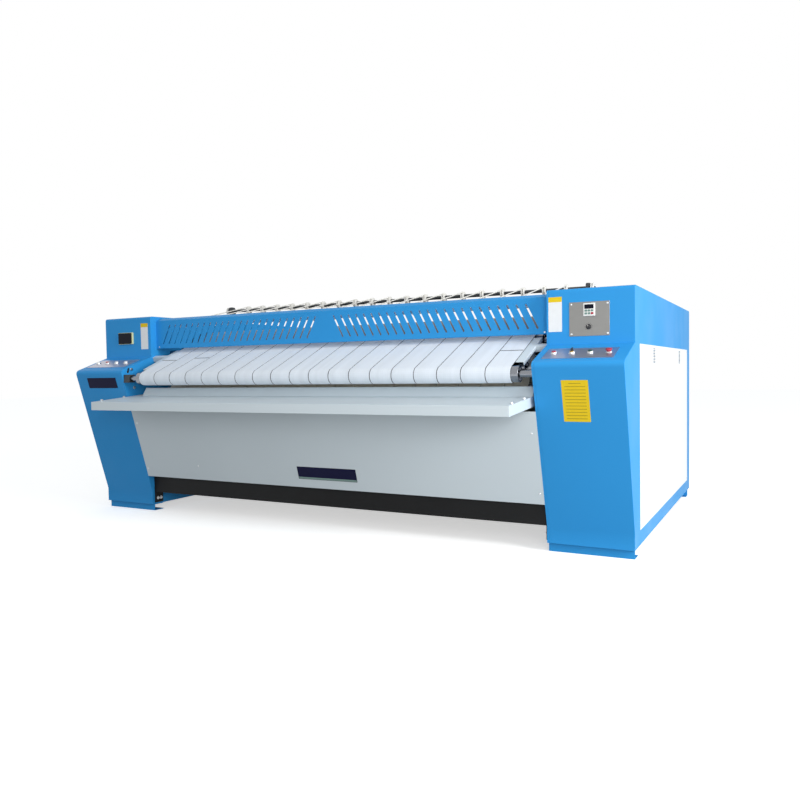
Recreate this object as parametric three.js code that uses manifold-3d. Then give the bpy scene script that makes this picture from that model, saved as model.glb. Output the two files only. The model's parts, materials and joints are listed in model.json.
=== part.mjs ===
// A two-roll flatwork ironer with a 3 m working width. Linen rides up the feed belts, passes between the
// heated drums and the ironing belts that wrap them, and leaves over the outfeed table at the back.
// Millimetres. x runs along the rolls, y from the feed side to the back, z up. Places are measured from the
// middle of the machine, the front face of the cabinet heads and the floor.
import * as THREE from "three";
import { mergeVertices } from "three/addons/utils/BufferGeometryUtils.js";
import Module from "manifold-3d";

const wasm = await Module();
wasm.setup();

// ---- Fits
const CLEAR = 0.3; // between two fixed pieces that meet
const RUNNING = 0.4; // round a shaft, a button or a knob in its hole, on the radius

// ---- Drums, which set the size of the whole machine
const DRUM_RADIUS = 400;
const DRUM_LENGTH = 3060;
const DRUM_Z = 1000;
const DRUM_FRONT_Y = 240; // the front drum's foremost line
const DRUM_GAP = 100; // between the two drums
const DRUM_END_GAP = 30; // between a drum's end and the cabinet beside it
const ROOM_ABOVE_DRUMS = 100;
const ROOM_BEHIND_DRUMS = 395;
const DRUM_WALL = 14;
const DRUM_WEB_INSET = 26;
const DRUM_HUB_RADIUS = 80;
const DRUM_SHAFT_RADIUS = 45;
const DRUM_SHAFT_BORE = 16;
const BEARING_RADIUS = 95;
const BEARING_WIDTH = 60;
const FRONT_DRUM_Y = DRUM_FRONT_Y + DRUM_RADIUS;
const REAR_DRUM_Y = FRONT_DRUM_Y + 2 * DRUM_RADIUS + DRUM_GAP;
const DRUM_REAR_Y = REAR_DRUM_Y + DRUM_RADIUS; // the rear drum's rearmost line
const DRUM_FOOT_Z = DRUM_Z - DRUM_RADIUS;
const DRUM_TOP_Z = DRUM_Z + DRUM_RADIUS;

// ---- Cabinets
const CABINET_WIDTH = 490;
const CABINET_HEIGHT = DRUM_TOP_Z + ROOM_ABOVE_DRUMS;
const CABINET_DEPTH = DRUM_REAR_Y + ROOM_BEHIND_DRUMS; // from the front of the head to the rear wall
const INNER_X = DRUM_LENGTH / 2 + DRUM_END_GAP; // the faces that the two end frames turn to each other
const OUTER_X = INNER_X + CABINET_WIDTH;
const BETWEEN_X = INNER_X - CLEAR; // half the length of what spans the machine
const CASING_WALL = 4;
const END_FRAME_THICKNESS = 12;
const SHAFT_END_X = INNER_X + END_FRAME_THICKNESS; // shafts end flush with the end frames' outer faces
const PLINTH_HEIGHT = 51;
const SKIRT_FRONT_Y = -24;
const SKIRT_TOP_Z = 151;
const NOSE_Y = -297;
const NOSE_RISE = 85; // above the drums' axes
const NOSE_Z = DRUM_Z + NOSE_RISE;
const NOSE_RADIUS = 34;
const CONSOLE_RISE = 103;
const HEAD_FOOT_Z = NOSE_Z + CONSOLE_RISE; // where the console slope meets the upright head
const TOP_FOLD_RADIUS = 22;
const LEAN = (NOSE_Y - SKIRT_FRONT_Y) / (NOSE_Z - SKIRT_TOP_Z);
const leaningFrontY = (z) => SKIRT_FRONT_Y + LEAN * (z - SKIRT_TOP_Z);

// ---- Plinths and feet
const PLINTH_INSET = 4; // on each side of the cabinet
const PLINTH_SETBACK = 22; // behind the skirt
const PLINTH_Y = SKIRT_FRONT_Y + PLINTH_SETBACK;
const PLINTH_DEPTH = 90;
const PLINTH_WALL = 5;
const REAR_FOOT_SETBACK = 80; // of its web, from the cabinet's back
const REAR_FOOT_Y = CABINET_DEPTH - REAR_FOOT_SETBACK;

// ---- White side panels
const SIDE_PANEL_THICKNESS = 3;
const SIDE_PANEL_FRONT_Y = 129;
const SIDE_PANEL_REAR_MARGIN = 165;
const SIDE_PANEL_REAR_Y = CABINET_DEPTH - SIDE_PANEL_REAR_MARGIN;
const SIDE_PANEL_BOTTOM_Z = 138;
const SIDE_PANEL_TOP_MARGIN = 5; // below the line where the console meets the head
const SIDE_PANEL_TOP_Z = HEAD_FOOT_Z - SIDE_PANEL_TOP_MARGIN;
const SIDE_PANEL_LAP = 16; // how much the panel covers of the casing round its window
const FRONT_VENT_SETBACK = 481; // from the panel's front edge to the middle of the vent
const REAR_VENT_SETBACK = 440;
const VENT_YS = [SIDE_PANEL_FRONT_Y + FRONT_VENT_SETBACK, SIDE_PANEL_REAR_Y - REAR_VENT_SETBACK];
const VENT_WIDTH = 90;
const VENT_TOP_MARGIN = 18;
const VENT_TOP_Z = SIDE_PANEL_TOP_Z - VENT_TOP_MARGIN;
const VENT_SLOTS = 10;
const VENT_PITCH = 9.5;
const VENT_SLOT_HEIGHT = 4;

// ---- Sheet-metal covers between the cabinets
const SHEET = 3;
const HEM = 22;
const GUARD_Y = 60;
const GUARD_RISE = 252; // of its lower edge above the drums' axes
const GUARD_BOTTOM_Z = DRUM_Z + GUARD_RISE;
const GUARD_TOP_DROP = 14; // below the top of the cabinets
const GUARD_TOP_Z = CABINET_HEIGHT - GUARD_TOP_DROP;
const GUARD_FOLD_HEIGHT = 20;
const GUARD_FOLD_Z = GUARD_TOP_Z - GUARD_FOLD_HEIGHT;
const GUARD_TOP_LEAN = 40;
const SLOTS_PER_SIDE = 24;
const FIRST_SLOT_X = 72; // the tops of the two innermost slots
const SLOT_END_MARGIN = 69.8; // from the foot of the outermost slot to the cabinet
const SLOT_MARGIN = 33; // above and below the slots
const SLOT_TOP_Z = GUARD_FOLD_Z - SLOT_MARGIN;
const SLOT_BOTTOM_Z = GUARD_BOTTOM_Z + SLOT_MARGIN;
const SLOT_LEAN = 75; // how far a slot's foot lies outwards of its top
const SLOT_WIDTH = 12;
const SLOT_PITCH = (INNER_X - SLOT_END_MARGIN - SLOT_LEAN - FIRST_SLOT_X) / (SLOTS_PER_SIDE - 1);
const FRONT_PANEL_BOTTOM_Z = 277;
const FRONT_PANEL_TOP_Z = 817;
const REAR_PANEL_SETBACK = 45;
const REAR_PANEL_Y = CABINET_DEPTH - REAR_PANEL_SETBACK;
const REAR_PANEL_TOP_Z = 820;

// ---- Base beams
const BEAM_FRONT_Y = -5;
const BEAM_REAR_SETBACK = 155;
const BEAM_REAR_Y = CABINET_DEPTH - BEAM_REAR_SETBACK;
const BEAM_DEPTH = 80;
const BEAM_BOTTOM_Z = 146;
const BEAM_TOP_Z = 300;
const BEAM_WALL = 6;
const BRACKET_FOOT_Z = 62;
const BRACKET_THICKNESS = 10;

// ---- Feed belts and their rollers
const BELT_COUNT = 19;
const BELT_GAP = 4;
const BELTS_LEFT_MARGIN = 185;
const BELTS_RIGHT_MARGIN = 117.5;
const BELTS_LEFT_X = -INNER_X + BELTS_LEFT_MARGIN;
const BELTS_RIGHT_X = INNER_X - BELTS_RIGHT_MARGIN;
const BELT_PITCH = (BELTS_RIGHT_X - BELTS_LEFT_X + BELT_GAP) / BELT_COUNT;
const FEED_BELT_THICKNESS = 4;
const BELT_GROOVE_DEPTH = 3;
const FEED_ROLLER_RADIUS = 46;
const ROLLER_OVERHANG = 41; // bare roller past the outer belts
const FEED_SHAFT_RADIUS = 19;
const NOSE_ROLLER_SETBACK = 52; // behind and below the cabinets' noses
const NOSE_ROLLER_DROP = 59;
const NOSE_ROLLER_Y = NOSE_Y + NOSE_ROLLER_SETBACK;
const NOSE_ROLLER_Z = NOSE_Z - NOSE_ROLLER_DROP;
const FEED_SLOPE = 0.425;
const FEED_TILT = Math.atan(FEED_SLOPE);
const FEED_CENTRES = 500; // between the two feed rollers, up the slope
const upTheFeed = (distance, above = 0) => ({
  y: NOSE_ROLLER_Y + distance * Math.cos(FEED_TILT) - above * Math.sin(FEED_TILT),
  z: NOSE_ROLLER_Z + distance * Math.sin(FEED_TILT) + above * Math.cos(FEED_TILT),
});
const NOSE_ROLLER = upTheFeed(0);
const REAR_FEED_ROLLER = upTheFeed(FEED_CENTRES);
const TENSION_ROLLER_SETBACK = 115; // behind and above the nose roller, on the belts' lower run
const TENSION_ROLLER_RISE = 24;
const TENSION_ROLLER = {
  y: NOSE_ROLLER_Y + TENSION_ROLLER_SETBACK,
  z: NOSE_ROLLER_Z + TENSION_ROLLER_RISE,
};
const BED_START_UP_SLOPE = 60;
const BED_END_MARGIN = 70;
const BED_END_UP_SLOPE = FEED_CENTRES - BED_END_MARGIN;
const BED_MARGIN = 49; // slider bed past the outer belts
const BED_FLANGE = 22;
const BED_BEAM_UP_SLOPE = 300;
const BED_BEAM_SIDE = 36;
const ROLLER_BEARING_WIDTH = 60;
const ROLLER_BEARING_HEIGHT = 58;
const ROLLER_BEARING_DEPTH = 54;

// ---- Feed table
const TABLE_SIDE_GAP = 23; // to the cabinet at each end
const TABLE_DEPTH = 384;
const TABLE_RISE = 30;
const TABLE_LIP = 57;
const UPSTAND_SETBACK = 85; // of its top edge, behind the nose roller's axis
const UPSTAND_CLEARANCE = 25; // below the nose roller
const UPSTAND_TOP_Y = NOSE_ROLLER_Y + UPSTAND_SETBACK;
const UPSTAND_TOP_Z = NOSE_ROLLER_Z - FEED_ROLLER_RADIUS - UPSTAND_CLEARANCE;
const UPSTAND_HEIGHT = 57;
const UPSTAND_LEAN = 39;
const TABLE_REAR_Y = UPSTAND_TOP_Y - UPSTAND_LEAN;
const TABLE_REAR_Z = UPSTAND_TOP_Z - UPSTAND_HEIGHT;
const TABLE_FRONT_Y = TABLE_REAR_Y - TABLE_DEPTH;
const TABLE_FRONT_Z = TABLE_REAR_Z - TABLE_RISE;
const UPSTAND_LEFT_GAP = 110; // to the left cabinet, where the nose roller's bearing is
const TABLE_ARM_LENGTH = 159; // behind the table
const TABLE_ARM_REAR_Y = TABLE_REAR_Y + TABLE_ARM_LENGTH;
const ARM_SPACER_DEPTH = 50;
const ARM_SPACER_MARGIN = 8;
const FRAME_MIDDLE_Y = (TABLE_FRONT_Y + CABINET_DEPTH) / 2;

// ---- Ironing belts and their rollers
const IRONING_BELT_THICKNESS = 5;
const GUIDE_ROLLER_RADIUS = 40;
const GUIDE_SHAFT_RADIUS = 15;
const NIP_ROLLER_GAP = 62; // from a drum's outermost line to the entry or exit roller's axis
const NIP_ROLLER_RISE = 90;
const RETURN_ROLLER_GAP = 195;
const RETURN_ROLLER_DROP = 75;
const LOWER_FRONT_GAP = 145;
const LOWER_FRONT_DROP = 220; // below the drums
const LOWER_REAR_GAP = 170;
const LOWER_REAR_DROP = 170;
const ENTRY_ROLLER = { y: DRUM_FRONT_Y - NIP_ROLLER_GAP, z: DRUM_Z + NIP_ROLLER_RISE };
const FRONT_RETURN_ROLLER = { y: DRUM_FRONT_Y - RETURN_ROLLER_GAP, z: DRUM_Z - RETURN_ROLLER_DROP };
const LOWER_FRONT_ROLLER = { y: DRUM_FRONT_Y - LOWER_FRONT_GAP, z: DRUM_FOOT_Z - LOWER_FRONT_DROP };
const LOWER_REAR_ROLLER = { y: DRUM_REAR_Y + LOWER_REAR_GAP, z: DRUM_FOOT_Z - LOWER_REAR_DROP };
const EXIT_ROLLER = { y: DRUM_REAR_Y + NIP_ROLLER_GAP, z: DRUM_Z + NIP_ROLLER_RISE };

// ---- Drive in the left cabinet
const SPROCKET_TIP_RADIUS = 150;
const MOTOR_SPROCKET_TIP_RADIUS = 60;
const SPROCKET_WIDTH = 14;
const CHAIN_SETBACK = 200; // from the cabinet's inner face to the middle of the chain
const SPROCKET_X = -INNER_X - CHAIN_SETBACK;
const SPROCKET_TEETH = 30;
const TOOTH_DEPTH = 9;
const CHAIN_DEPTH = 12;
const CHAIN_WIDTH = 18;
const MOTOR_Y = (FRONT_DRUM_Y + REAR_DRUM_Y) / 2;
const MOTOR_DROP = 530;
const MOTOR_Z = DRUM_Z - MOTOR_DROP;
const GEARBOX_SIZE = { x: 152, y: 190, z: 210 };
const MOTOR_RADIUS = 72;
const MOTOR_LENGTH = 260;
const MOTOR_SHAFT_RADIUS = 20;
const MOTOR_SHAFT_END_X = SHAFT_END_X + GEARBOX_SIZE.x / 2;

// ---- Cord guide shafts
const RING_COUNT = 19; // between the brackets, besides one outside each
const FIRST_RING_MARGIN = 182;
const LAST_RING_MARGIN = 144.4;
const FIRST_RING_X = -INNER_X + FIRST_RING_MARGIN;
const LAST_RING_X = INNER_X - LAST_RING_MARGIN;
const RING_PITCH = (LAST_RING_X - FIRST_RING_X) / (RING_COUNT - 1);
const RING_RADIUS = 33;
const RING_GROOVE_RADIUS = 25;
const RING_WIDTH = 24;
const GUIDE_SHAFT_SETBACK = 315;
const GUIDE_SHAFT_RISE = 98;
const GUIDE_SHAFT_Y = FRONT_DRUM_Y + GUIDE_SHAFT_SETBACK;
const GUIDE_SHAFT_Z = CABINET_HEIGHT + GUIDE_SHAFT_RISE;
const GUIDE_TUBE_RADIUS = 13;
const GUIDE_STUB_RADIUS = 10; // in the brackets
const SHAFT_BRACKET_X = INNER_X + END_FRAME_THICKNESS / 2; // on the end frames' top edges
const SHAFT_BRACKET_WIDTH = 20;
const SHAFT_BRACKET_FOOT = 90;
const SHAFT_BRACKET_RADIUS = 34;
const SHAFT_BRACKET_ROUNDING = 27;
const END_RING_GAP = 8; // between an end ring and its bracket
const GUIDE_SHAFT_STUB = 6; // past an end ring
const END_RING_X = SHAFT_BRACKET_X + SHAFT_BRACKET_WIDTH / 2 + END_RING_GAP + RING_WIDTH / 2;
const GUIDE_SHAFT_END_X = END_RING_X + RING_WIDTH / 2 + GUIDE_SHAFT_STUB;
const CORD_ROD_Y = 140;
const CORD_ROD_DROP = 70;
const CORD_ROD_Z = CABINET_HEIGHT - CORD_ROD_DROP;
const CORD_ROD_RADIUS = 14;

// ---- Outfeed table
const OUTFEED_GAP = 60; // behind the exit roller's axis
const OUTFEED_DROP = 15; // below it
const OUTFEED_REAR_MARGIN = 10;
const OUTFEED_FALL = 170;
const OUTFEED_TOP_Y = EXIT_ROLLER.y + OUTFEED_GAP;
const OUTFEED_TOP_Z = EXIT_ROLLER.z - OUTFEED_DROP;
const OUTFEED_REAR_Y = CABINET_DEPTH - OUTFEED_REAR_MARGIN;
const OUTFEED_REAR_Z = OUTFEED_TOP_Z - OUTFEED_FALL;
const OUTFEED_LIP = 50;

// ---- Consoles, on the slopes. "Low", "high" and "row" are distances up the slope from the nose fold. The
// buttons stand evenly between the first, placed from the plate's left edge, and the last, from its right.
const CONSOLE_TILT = Math.atan2(HEAD_FOOT_Z - NOSE_Z, -NOSE_Y);
const CONSOLE_PLATE_THICKNESS = 2;
const CONSOLE_WINDOW_MARGIN = 16;
const BUTTONS_PER_CONSOLE = 4;
const LEFT_CONSOLE_MARGINS = { inner: 50, outer: 30 }; // to the faces of the cabinet
const RIGHT_CONSOLE_MARGINS = { inner: 40, outer: 65 };
const LEFT_CONSOLE = {
  left: -OUTER_X + LEFT_CONSOLE_MARGINS.outer,
  right: -INNER_X - LEFT_CONSOLE_MARGINS.inner,
  low: 82,
  high: 252,
  row: 174,
  firstButton: 35,
  lastButton: 75,
};
const RIGHT_CONSOLE = {
  left: INNER_X + RIGHT_CONSOLE_MARGINS.inner,
  right: OUTER_X - RIGHT_CONSOLE_MARGINS.outer,
  low: 62,
  high: 230,
  row: 148,
  firstButton: 47,
  lastButton: 40,
};
const BUTTON_RADIUS = 12;
const BUTTON_HEIGHT = 13;
const BUTTON_STEM = 30;
const BUTTON_CHAMFER = 2;
const MUSHROOM = { radius: 17, crownRadius: 10, edge: 5, height: 10 };
const SELECTOR_LEVER = { front: 11, back: 23, width: 7, height: 15, sunk: 3 };

// ---- Controls on the front faces of the heads. For the plate and the display, "across" and "up" start from
// the cabinet's inner face and the head's foot, and for the rest from the plate's lower left corner.
const CONTROL_PLATE = { across: 131, up: 43, width: 224, height: 190, thickness: 2 };
const CONTROL_WINDOW_MARGIN = 20;
const KEYPAD = { across: 82, up: 110, width: 64, height: 71, thickness: 12 };
const SPEED_KNOB = { across: 108, up: 51, radius: 14, height: 15 };
const KNOB_POINTER = { width: 3, depth: 3 };
const DISPLAY = { across: 181, up: 105, width: 155, height: 90, thickness: 12, rim: 8, glassInset: 3 };

// ---- Colours and finishes
function finish(color, roughness, metalness) {
  return new THREE.MeshStandardMaterial({ color, roughness, metalness });
}
const BLUE_PAINT = finish("#3f92d6", 0.4, 0.1);
const WHITE_PAINT = finish("#eef3f7", 0.45, 0.05);
const GREY_PAINT = finish("#c3ccd2", 0.45, 0.1);
const BLACK_PAINT = finish("#141519", 0.5, 0.1);
const STAINLESS = finish("#a9a9a6", 0.35, 0.9);
const CHROMED_STEEL = finish("#d0d2d4", 0.15, 1);
const MACHINED_STEEL = finish("#9a9c9e", 0.35, 0.9);
const CAST_IRON = finish("#55595c", 0.7, 0.5);
const WHITE_CANVAS = finish("#e9eef3", 0.9, 0);
const BEIGE_CANVAS = finish("#cdb98a", 0.9, 0);
const WHITE_PLASTIC = finish("#f1f1ee", 0.4, 0);
const BLACK_PLASTIC = finish("#17181a", 0.4, 0);
const RED_PLASTIC = finish("#9c1f35", 0.35, 0);
const GREEN_PLASTIC = finish("#173d33", 0.35, 0);

// ---- Geometry helpers
const at = (y, z) => new THREE.Vector2(y, z);
const SECTION_TO_WORLD = new THREE.Matrix4().makeBasis(
  new THREE.Vector3(0, 1, 0),
  new THREE.Vector3(0, 0, 1),
  new THREE.Vector3(1, 0, 0),
);

// A section in y and z, drawn out along x.
function drawn(shape, fromX, toX, curveSegments = 4) {
  const options = { depth: toX - fromX, bevelEnabled: false, curveSegments };
  return new THREE.ExtrudeGeometry(shape, options).applyMatrix4(SECTION_TO_WORLD).translate(fromX, 0, 0);
}

function block(x, y, z) {
  return new THREE.BoxGeometry(x[1] - x[0], y[1] - y[0], z[1] - z[0]).translate(
    (x[0] + x[1]) / 2,
    (y[0] + y[1]) / 2,
    (z[0] + z[1]) / 2,
  );
}

// A turned piece on an axis along x, from [radius, x] pairs that run to the right.
function turned(profile, centre = { y: 0, z: 0 }, sides = 20) {
  const points = profile.map(([radius, x]) => new THREE.Vector2(radius, x));
  return new THREE.LatheGeometry(points, sides).rotateZ(-Math.PI / 2).translate(0, centre.y, centre.z);
}

const UPRIGHT_SIDES = 16;

// A turned piece that stands up along z, from [radius, z] pairs that run upwards.
function turnedUpright(profile, sides = UPRIGHT_SIDES) {
  const points = profile.map(([radius, z]) => new THREE.Vector2(radius, z));
  return new THREE.LatheGeometry(points, sides).rotateX(Math.PI / 2);
}

// The radius of a hole's corners whose flats leave a round shaft of the given radius its running clearance.
const holeRadius = (shaftRadius, sides) => (shaftRadius + RUNNING) / Math.cos(Math.PI / sides);

function holePath({ y, z }, shaftRadius, sides = 20) {
  const radius = holeRadius(shaftRadius, sides);
  const corners = Array.from({ length: sides }, (_, i) => {
    const angle = (i / sides) * 2 * Math.PI;
    return at(y + radius * Math.cos(angle), z + radius * Math.sin(angle));
  });
  return new THREE.Path(corners);
}

// What a shaft's hole takes out of a wall that it passes through along x.
function holeAlongX(centre, shaftRadius, [from, to], sides = 20) {
  const radius = holeRadius(shaftRadius, sides);
  return turned([[0, from - 1], [radius, from - 1], [radius, to + 1], [0, to + 1]], centre, sides);
}

// A closed geometry as a solid that can be joined and cut.
function solid(geometry) {
  const bare = geometry.clone();
  bare.deleteAttribute("normal");
  bare.deleteAttribute("uv");
  const merged = mergeVertices(bare, 1e-3);
  const corners = merged.index.array;
  const triangles = [];
  for (let i = 0; i < corners.length; i += 3) {
    const [a, b, c] = corners.subarray(i, i + 3);
    if (a !== b && b !== c && c !== a) triangles.push(a, b, c);
  }
  return new wasm.Manifold(
    new wasm.Mesh({
      numProp: 3,
      vertProperties: new Float32Array(merged.attributes.position.array),
      triVerts: new Uint32Array(triangles),
    }),
  );
}

function geometryOf(body) {
  const mesh = body.getMesh();
  return new THREE.BufferGeometry()
    .setAttribute("position", new THREE.BufferAttribute(new Float32Array(mesh.vertProperties), 3))
    .setIndex(new THREE.BufferAttribute(new Uint32Array(mesh.triVerts), 1));
}

const cut = (geometry, ...cutters) =>
  geometryOf(cutters.reduce((body, cutter) => body.subtract(solid(cutter)), solid(geometry)));
const joined = (geometry, ...others) =>
  geometryOf(others.reduce((body, other) => body.add(solid(other)), solid(geometry)));

function named(name, geometry, material) {
  const mesh = new THREE.Mesh(geometry, material);
  mesh.name = name;
  return mesh;
}

// Moves each side of an anticlockwise outline inwards by the same distance.
function inset(corners, distance) {
  const sides = corners.map((corner, i) => {
    const along = corners[(i + 1) % corners.length].at.clone().sub(corner.at).normalize();
    const inward = at(-along.y, along.x);
    return { from: corner.at.clone().addScaledVector(inward, distance), along };
  });
  return corners.map((corner, i) => {
    const before = sides.at(i - 1);
    const after = sides[i];
    const reach = after.from.clone().sub(before.from).cross(after.along) / before.along.cross(after.along);
    return { ...corner, at: before.from.clone().addScaledVector(before.along, reach) };
  });
}

function roundedShape(corners) {
  const shape = new THREE.Shape();
  corners.forEach((corner, i) => {
    const back = corners.at(i - 1).at.clone().sub(corner.at).normalize();
    const on = corners[(i + 1) % corners.length].at.clone().sub(corner.at).normalize();
    const reach = (corner.radius ?? 0) / Math.tan(back.angleTo(on) / 2);
    const start = corner.at.clone().addScaledVector(back, reach);
    const end = corner.at.clone().addScaledVector(on, reach);
    if (i === 0) shape.moveTo(start.x, start.y);
    else shape.lineTo(start.x, start.y);
    if (reach > 0) shape.quadraticCurveTo(corner.at.x, corner.at.y, end.x, end.y);
  });
  return shape;
}

// The section of a bent sheet: a line of bends, and the same line moved to its left by the sheet's thickness.
function sheetShape(bends, thickness = SHEET) {
  const normals = bends.slice(1).map((bend, i) => {
    const along = bend.clone().sub(bends[i]).normalize();
    return at(-along.y, along.x);
  });
  const moved = bends.map((bend, i) => {
    const before = normals[Math.max(i - 1, 0)];
    const after = normals[Math.min(i, normals.length - 1)];
    const middle = before.clone().add(after).normalize();
    return bend.clone().addScaledVector(middle, thickness / middle.dot(after));
  });
  return new THREE.Shape([...bends, ...moved.reverse()]);
}

// The line that a belt takes round pulleys, as its inner face moved outwards by an offset. It runs
// anticlockwise round pulleys that turn 1 and clockwise round those that turn -1. Its arcs are flats that
// touch the true circle.
function beltLine(pulleys, thickness, offset, arcStep) {
  const rounds = pulleys.map(({ y, z, radius, turn = 1 }) => ({
    centre: at(y, z),
    turn,
    reach: (turn > 0 ? radius + CLEAR : -(radius + CLEAR + thickness)) + offset,
  }));
  const leaving = rounds.map((round, i) => {
    const next = rounds[(i + 1) % rounds.length];
    const between = next.centre.clone().sub(round.centre);
    return between.angle() + Math.acos((next.reach - round.reach) / between.length());
  });
  return rounds.flatMap(({ centre, turn, reach }, i) => {
    const arriving = leaving.at(i - 1);
    const full = 2 * Math.PI;
    const sweep = turn * ((((turn * (leaving[i] - arriving)) % full) + full) % full);
    const steps = Math.max(1, Math.ceil(Math.abs(sweep) / arcStep));
    const step = sweep / steps;
    const place = (angle, distance) =>
      at(centre.x - distance * Math.cos(angle), centre.y - distance * Math.sin(angle));
    const corners = Array.from({ length: steps }, (_, i) =>
      place(arriving + (i + 0.5) * step, reach / Math.cos(step / 2)),
    );
    return [place(arriving, reach), ...corners, place(leaving[i], reach)];
  });
}

function beltShape(pulleys, thickness, arcStep, inner = 0, outer = thickness) {
  const shape = new THREE.Shape(beltLine(pulleys, thickness, outer, arcStep));
  shape.holes.push(new THREE.Path(beltLine(pulleys, thickness, inner, arcStep)));
  return shape;
}

// ---- Cabinets
const CABINET_CORNERS = [
  { at: at(SKIRT_FRONT_Y, PLINTH_HEIGHT) },
  { at: at(CABINET_DEPTH, PLINTH_HEIGHT) },
  { at: at(CABINET_DEPTH, CABINET_HEIGHT), radius: TOP_FOLD_RADIUS },
  { at: at(0, CABINET_HEIGHT), radius: TOP_FOLD_RADIUS },
  { at: at(0, HEAD_FOOT_Z) },
  { at: at(NOSE_Y, NOSE_Z), radius: NOSE_RADIUS },
  { at: at(SKIRT_FRONT_Y, SKIRT_TOP_Z) },
];

// Along x on the side's cabinet: side is -1 on the left and 1 on the right.
const spanOn = (side, near, far) => (side < 0 ? [-far, -near] : [near, far]);

function casingGeometry(side, windows) {
  const start = INNER_X + END_FRAME_THICKNESS + CLEAR;
  const outer = drawn(roundedShape(CABINET_CORNERS), ...spanOn(side, start, OUTER_X));
  const hollow = inset(CABINET_CORNERS, CASING_WALL).map((corner) => ({
    at: corner.at.y < SKIRT_TOP_Z - CASING_WALL * 2 ? at(corner.at.x, 0) : corner.at,
    radius: Math.max((corner.radius ?? 0) - CASING_WALL, 0),
  }));
  const inner = drawn(roundedShape(hollow), ...spanOn(side, start - CASING_WALL, OUTER_X - CASING_WALL));
  const sideWindow = block(
    spanOn(side, OUTER_X - CASING_WALL * 2, OUTER_X + CASING_WALL),
    [SIDE_PANEL_FRONT_Y + SIDE_PANEL_LAP, SIDE_PANEL_REAR_Y - SIDE_PANEL_LAP],
    [SIDE_PANEL_BOTTOM_Z + SIDE_PANEL_LAP, SIDE_PANEL_TOP_Z - SIDE_PANEL_LAP],
  );
  return cut(outer, inner, sideWindow, ...windows);
}

function endFrameGeometry(side) {
  const x = spanOn(side, INNER_X, SHAFT_END_X);
  const holesFor = (centres, radius) => centres.map((centre) => holeAlongX(centre, radius, x));
  return cut(
    drawn(roundedShape(CABINET_CORNERS), ...x),
    ...holesFor([ENTRY_ROLLER, FRONT_RETURN_ROLLER, EXIT_ROLLER], GUIDE_SHAFT_RADIUS),
    ...holesFor([LOWER_FRONT_ROLLER, LOWER_REAR_ROLLER], GUIDE_SHAFT_RADIUS),
    ...holesFor([NOSE_ROLLER, TENSION_ROLLER, REAR_FEED_ROLLER], FEED_SHAFT_RADIUS),
    ...holesFor([{ y: FRONT_DRUM_Y, z: DRUM_Z }, { y: REAR_DRUM_Y, z: DRUM_Z }], DRUM_SHAFT_RADIUS),
    ...holesFor([{ y: CORD_ROD_Y, z: CORD_ROD_Z }], CORD_ROD_RADIUS),
  );
}

function sidePanelGeometry(side) {
  const x = spanOn(side, OUTER_X + CLEAR, OUTER_X + CLEAR + SIDE_PANEL_THICKNESS);
  const through = spanOn(side, OUTER_X - SHEET, OUTER_X + SIDE_PANEL_THICKNESS * 2);
  const panel = block(x, [SIDE_PANEL_FRONT_Y, SIDE_PANEL_REAR_Y], [SIDE_PANEL_BOTTOM_Z, SIDE_PANEL_TOP_Z]);
  const slots = VENT_YS.flatMap((y) =>
    Array.from({ length: VENT_SLOTS }, (_, i) => {
      const top = VENT_TOP_Z - i * VENT_PITCH;
      return block(through, [y - VENT_WIDTH / 2, y + VENT_WIDTH / 2], [top - VENT_SLOT_HEIGHT, top]);
    }),
  );
  return cut(panel, ...slots);
}

// A channel under a cabinet. Its web stands at webY and its flanges reach inwards, to the back or to the front.
function plinthGeometry(side, webY, inwards) {
  const top = PLINTH_HEIGHT - CLEAR;
  const web = inwards > 0 ? webY : -webY;
  const channel = new THREE.Shape([
    at(web, 0),
    at(web + PLINTH_DEPTH, 0),
    at(web + PLINTH_DEPTH, PLINTH_WALL),
    at(web + PLINTH_WALL, PLINTH_WALL),
    at(web + PLINTH_WALL, top - PLINTH_WALL),
    at(web + PLINTH_DEPTH, top - PLINTH_WALL),
    at(web + PLINTH_DEPTH, top),
    at(web, top),
  ]);
  const x = spanOn(side * inwards, INNER_X + PLINTH_INSET, OUTER_X - PLINTH_INSET);
  const plinth = drawn(channel, ...x);
  return inwards > 0 ? plinth : plinth.rotateZ(Math.PI);
}

function cabinet(side, name, windows) {
  const group = new THREE.Group();
  group.add(named(`${name}_end_frame`, endFrameGeometry(side), BLUE_PAINT));
  group.add(named(`${name}_casing`, casingGeometry(side, windows), BLUE_PAINT));
  group.add(named(`${name}_side_panel`, sidePanelGeometry(side), WHITE_PAINT));
  group.add(named(`${name}_front_plinth`, plinthGeometry(side, PLINTH_Y, 1), BLUE_PAINT));
  group.add(named(`${name}_rear_foot`, plinthGeometry(side, REAR_FOOT_Y, -1), BLUE_PAINT));
  return group;
}

// ---- Covers and beams between the cabinets
function guardShape() {
  const foldBack = GUARD_Y + GUARD_TOP_LEAN;
  const bends = [
    at(foldBack, GUARD_TOP_Z),
    at(GUARD_Y, GUARD_FOLD_Z),
    at(GUARD_Y, GUARD_BOTTOM_Z),
    at(GUARD_Y + HEM, GUARD_BOTTOM_Z),
  ];
  return sheetShape(bends);
}

function slotCutter(topX, outward) {
  const footX = topX + outward * SLOT_LEAN;
  const half = SLOT_WIDTH / 2;
  const outline = new THREE.Shape([
    new THREE.Vector2(footX - half, SLOT_BOTTOM_Z),
    new THREE.Vector2(footX + half, SLOT_BOTTOM_Z),
    new THREE.Vector2(topX + half, SLOT_TOP_Z),
    new THREE.Vector2(topX - half, SLOT_TOP_Z),
  ]);
  const prism = new THREE.ExtrudeGeometry(outline, { depth: SHEET * 3, bevelEnabled: false });
  return prism.rotateX(Math.PI / 2).translate(0, GUARD_Y + SHEET * 2, 0);
}

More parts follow.
